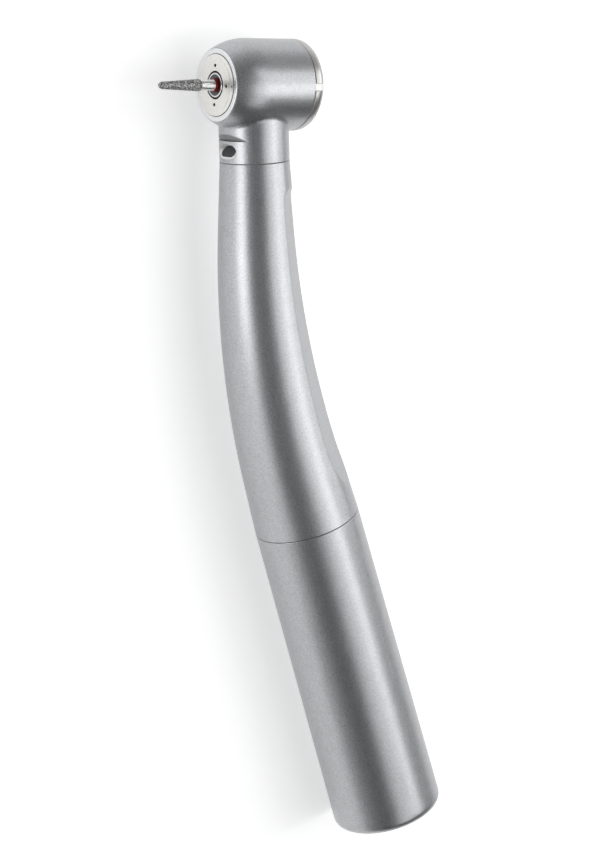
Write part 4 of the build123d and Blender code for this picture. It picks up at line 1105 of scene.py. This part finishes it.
# Painted shade: the cone inside the nose ring is coloured dark.
on_head("shaft", turned(profile, circle(SHAFT_TURNS)),
        blank("turned_shaft", turned_steel(SPINDLE_TONE, 0.22, SPINDLE_RINGS, in_cone)), "rotor",
        "bearing_steel", "spindle")


def red_enamel(new):
    """Deep red anodised metal, a little duller in its fine turning marks."""
    where = new.node("ShaderNodeTexCoord", out="Object")
    return shader(new, where.noise(RED_SCALE).spread().tint(RED_TONE, 0.8), 0.35, metallic=0.35)


profile = outline([
    (RED_BORE, RED_BOTTOM), (RED_RADIUS, RED_BOTTOM), (RED_RADIUS, RED_TOP, 0.03),
    (RED_BORE + RED_EDGE, RED_FRONT, 0.015), (RED_BORE, RED_FRONT, 0.015)], closed=True)
on_head("red_collar", turned(profile, circle(SHAFT_TURNS)), blank("red_enamel", red_enamel), "rotor",
        "red_metal", "red_ring")


# ---------------- bur
# A straight steel shank, ground bright, necked in before its working end: a slender taper with a
# round tip, covered in coarse diamond grit held in a grey nickel bond.
SHANK_RADIUS = 0.8
SHANK_TAIL = -3.7
SHANK_NECK_FROM = 6.8
SHANK_NECK_STEP = 0.1
SHANK_NECK_TO = 8.9
SHANK_NECK_RADIUS = 0.74
GRIT_BASE_RADIUS = 0.88
GRIT_TIP_RADIUS = 0.54
BUR_TIP = 15.65
GRIT_RELIEF = 0.07
GRIT_TURNS = 112
GRIT_SIZE = 4600.0
GRIT_DEPTH = 0.00005
SHADE_SCALE = 9000.0
SHANK_TONE = (0.80, 0.80, 0.80)
SHANK_RINGS = 12000.0
BOND_TONE = (0.16, 0.16, 0.16)
GRIT_TONE = (0.95, 0.94, 0.92)

profile = outline([
    (0.0, SHANK_TAIL), (SHANK_RADIUS, SHANK_TAIL, 0.2), (SHANK_RADIUS, SHANK_NECK_FROM),
    (SHANK_NECK_RADIUS, SHANK_NECK_FROM + SHANK_NECK_STEP), (SHANK_NECK_RADIUS, SHANK_NECK_TO),
    (0.0, SHANK_NECK_TO)], closed=False)
on_head("shank", turned(profile, circle(SHAFT_TURNS)),
        blank("ground_shank", turned_steel(SHANK_TONE, 0.25, SHANK_RINGS)), "bur", "bur_steel",
        "bur_shank")


def grit(new):
    """Pale crystals standing out of a dark bond, each a little brighter or duller."""
    where = new.node("ShaderNodeTexCoord", out="Object")
    cells = new.node("ShaderNodeTexVoronoi", {"feature": "F1"}, Vector=where, Scale=GRIT_SIZE)
    crystal = cells.step(0.60, 0.25) * where.noise(SHADE_SCALE).step(0.35, 0.65, 0.3, 1.0)
    return shader(new, crystal.colour(BOND_TONE, GRIT_TONE), 0.42, metallic=0.5, height=cells * -1.0,
                  depth=GRIT_DEPTH)


def run(start, end, count):
    """Even steps of a profile from one (radius, height) to another, without the first."""
    return np.linspace(start, end, count + 1)[1:]


# The profile is a disc, a short swell, the taper and a round tip. The turned points are then drawn
# in by a smoothed random share of the grit's relief.
swell_to = SHANK_NECK_TO + GRIT_BASE_RADIUS - SHANK_NECK_RADIUS
round_at = BUR_TIP - GRIT_TIP_RADIUS
foot, neck = (0.0, SHANK_NECK_TO), (SHANK_NECK_RADIUS, SHANK_NECK_TO)
base, shoulder = (GRIT_BASE_RADIUS, swell_to), (GRIT_TIP_RADIUS, round_at)
quarter = np.linspace(0.0, math.pi / 2, 16)
tip = np.stack([np.cos(quarter), np.sin(quarter)], axis=1) * GRIT_TIP_RADIUS + [0.0, round_at]
profile = np.concatenate([[foot], run(foot, neck, 5), run(neck, base, 8),
                          run(base, shoulder, 139)[:-1], tip])
rough = np.random.default_rng(7).random((len(profile), GRIT_TURNS))
rough = (rough + np.roll(rough, 1, axis=1) + np.roll(rough, 1, axis=0)) / 3
grid = turned(profile, circle(GRIT_TURNS))
grid[..., :2] *= 1 - (GRIT_RELIEF * rough / np.maximum(profile[:, :1], 0.3))[..., None]
on_head("diamond", grid, blank("diamond_grit", grit), "bur", "diamond_grit", "bur_diamond", sharp=60.0)


# ---------------- parts inside
# The pieces that the casings hide keep their drawn shape: ball bearings and chuck of bright ground
# steel, a turned coupling socket, drawn steel tubes, a milled alloy wheel, moulded cages and seals.
MARK_SCALE = 3000.0
MARK_DEPTH = 0.000003


def plain(tone, roughness, metallic):
    """A plain machined or moulded surface with a faint, fine unevenness."""
    def build(new):
        where = new.node("ShaderNodeTexCoord", out="Object")
        mark = where.noise(MARK_SCALE)
        rough = mark.spread(roughness - 0.04, roughness + 0.05)
        return shader(new, mark.spread().tint(tone, 0.9), rough, metallic, mark, MARK_DEPTH)
    return build


FINISHES = {
    "bright_steel": (plain((0.74, 0.74, 0.75), 0.22, 1.0),
                     ["front_bearing_inner_ring", "front_bearing_outer_ring", "front_bearing_balls",
                      "rear_bearing_inner_ring", "rear_bearing_outer_ring", "rear_bearing_balls",
                      "preload_washer", "chuck", "release_plunger"]),
    "socket_steel": (plain((0.52, 0.52, 0.53), 0.34, 1.0),
                     ["coupling_socket", "socket_lock_ring", "distributor"]),
    "tube_steel": (plain((0.62, 0.62, 0.62), 0.3, 1.0),
                   ["drive_air_pipe", "spray_air_pipe", "spray_water_pipe"]),
    "wheel_alloy": (plain((0.78, 0.78, 0.79), 0.3, 1.0), ["impeller"]),
    "cage_brown": (plain((0.20, 0.10, 0.045), 0.5, 0.0), ["front_bearing_cage", "rear_bearing_cage"]),
    "black_rubber": (plain((0.020, 0.020, 0.021), 0.55, 0.0),
                     ["sleeve_seal", "neck_seal", "port_seals", "front_bearing_o_ring",
                      "rear_bearing_o_ring"]),
    "rod_glass": (plain((0.55, 0.60, 0.62), 0.1, 0.0), ["light_guide"]),
}
for finish, (build, names) in FINISHES.items():
    made = blank(finish, build)
    for name in names:
        for slot in frame["nodes"][name].material_slots:
            slot.material = made
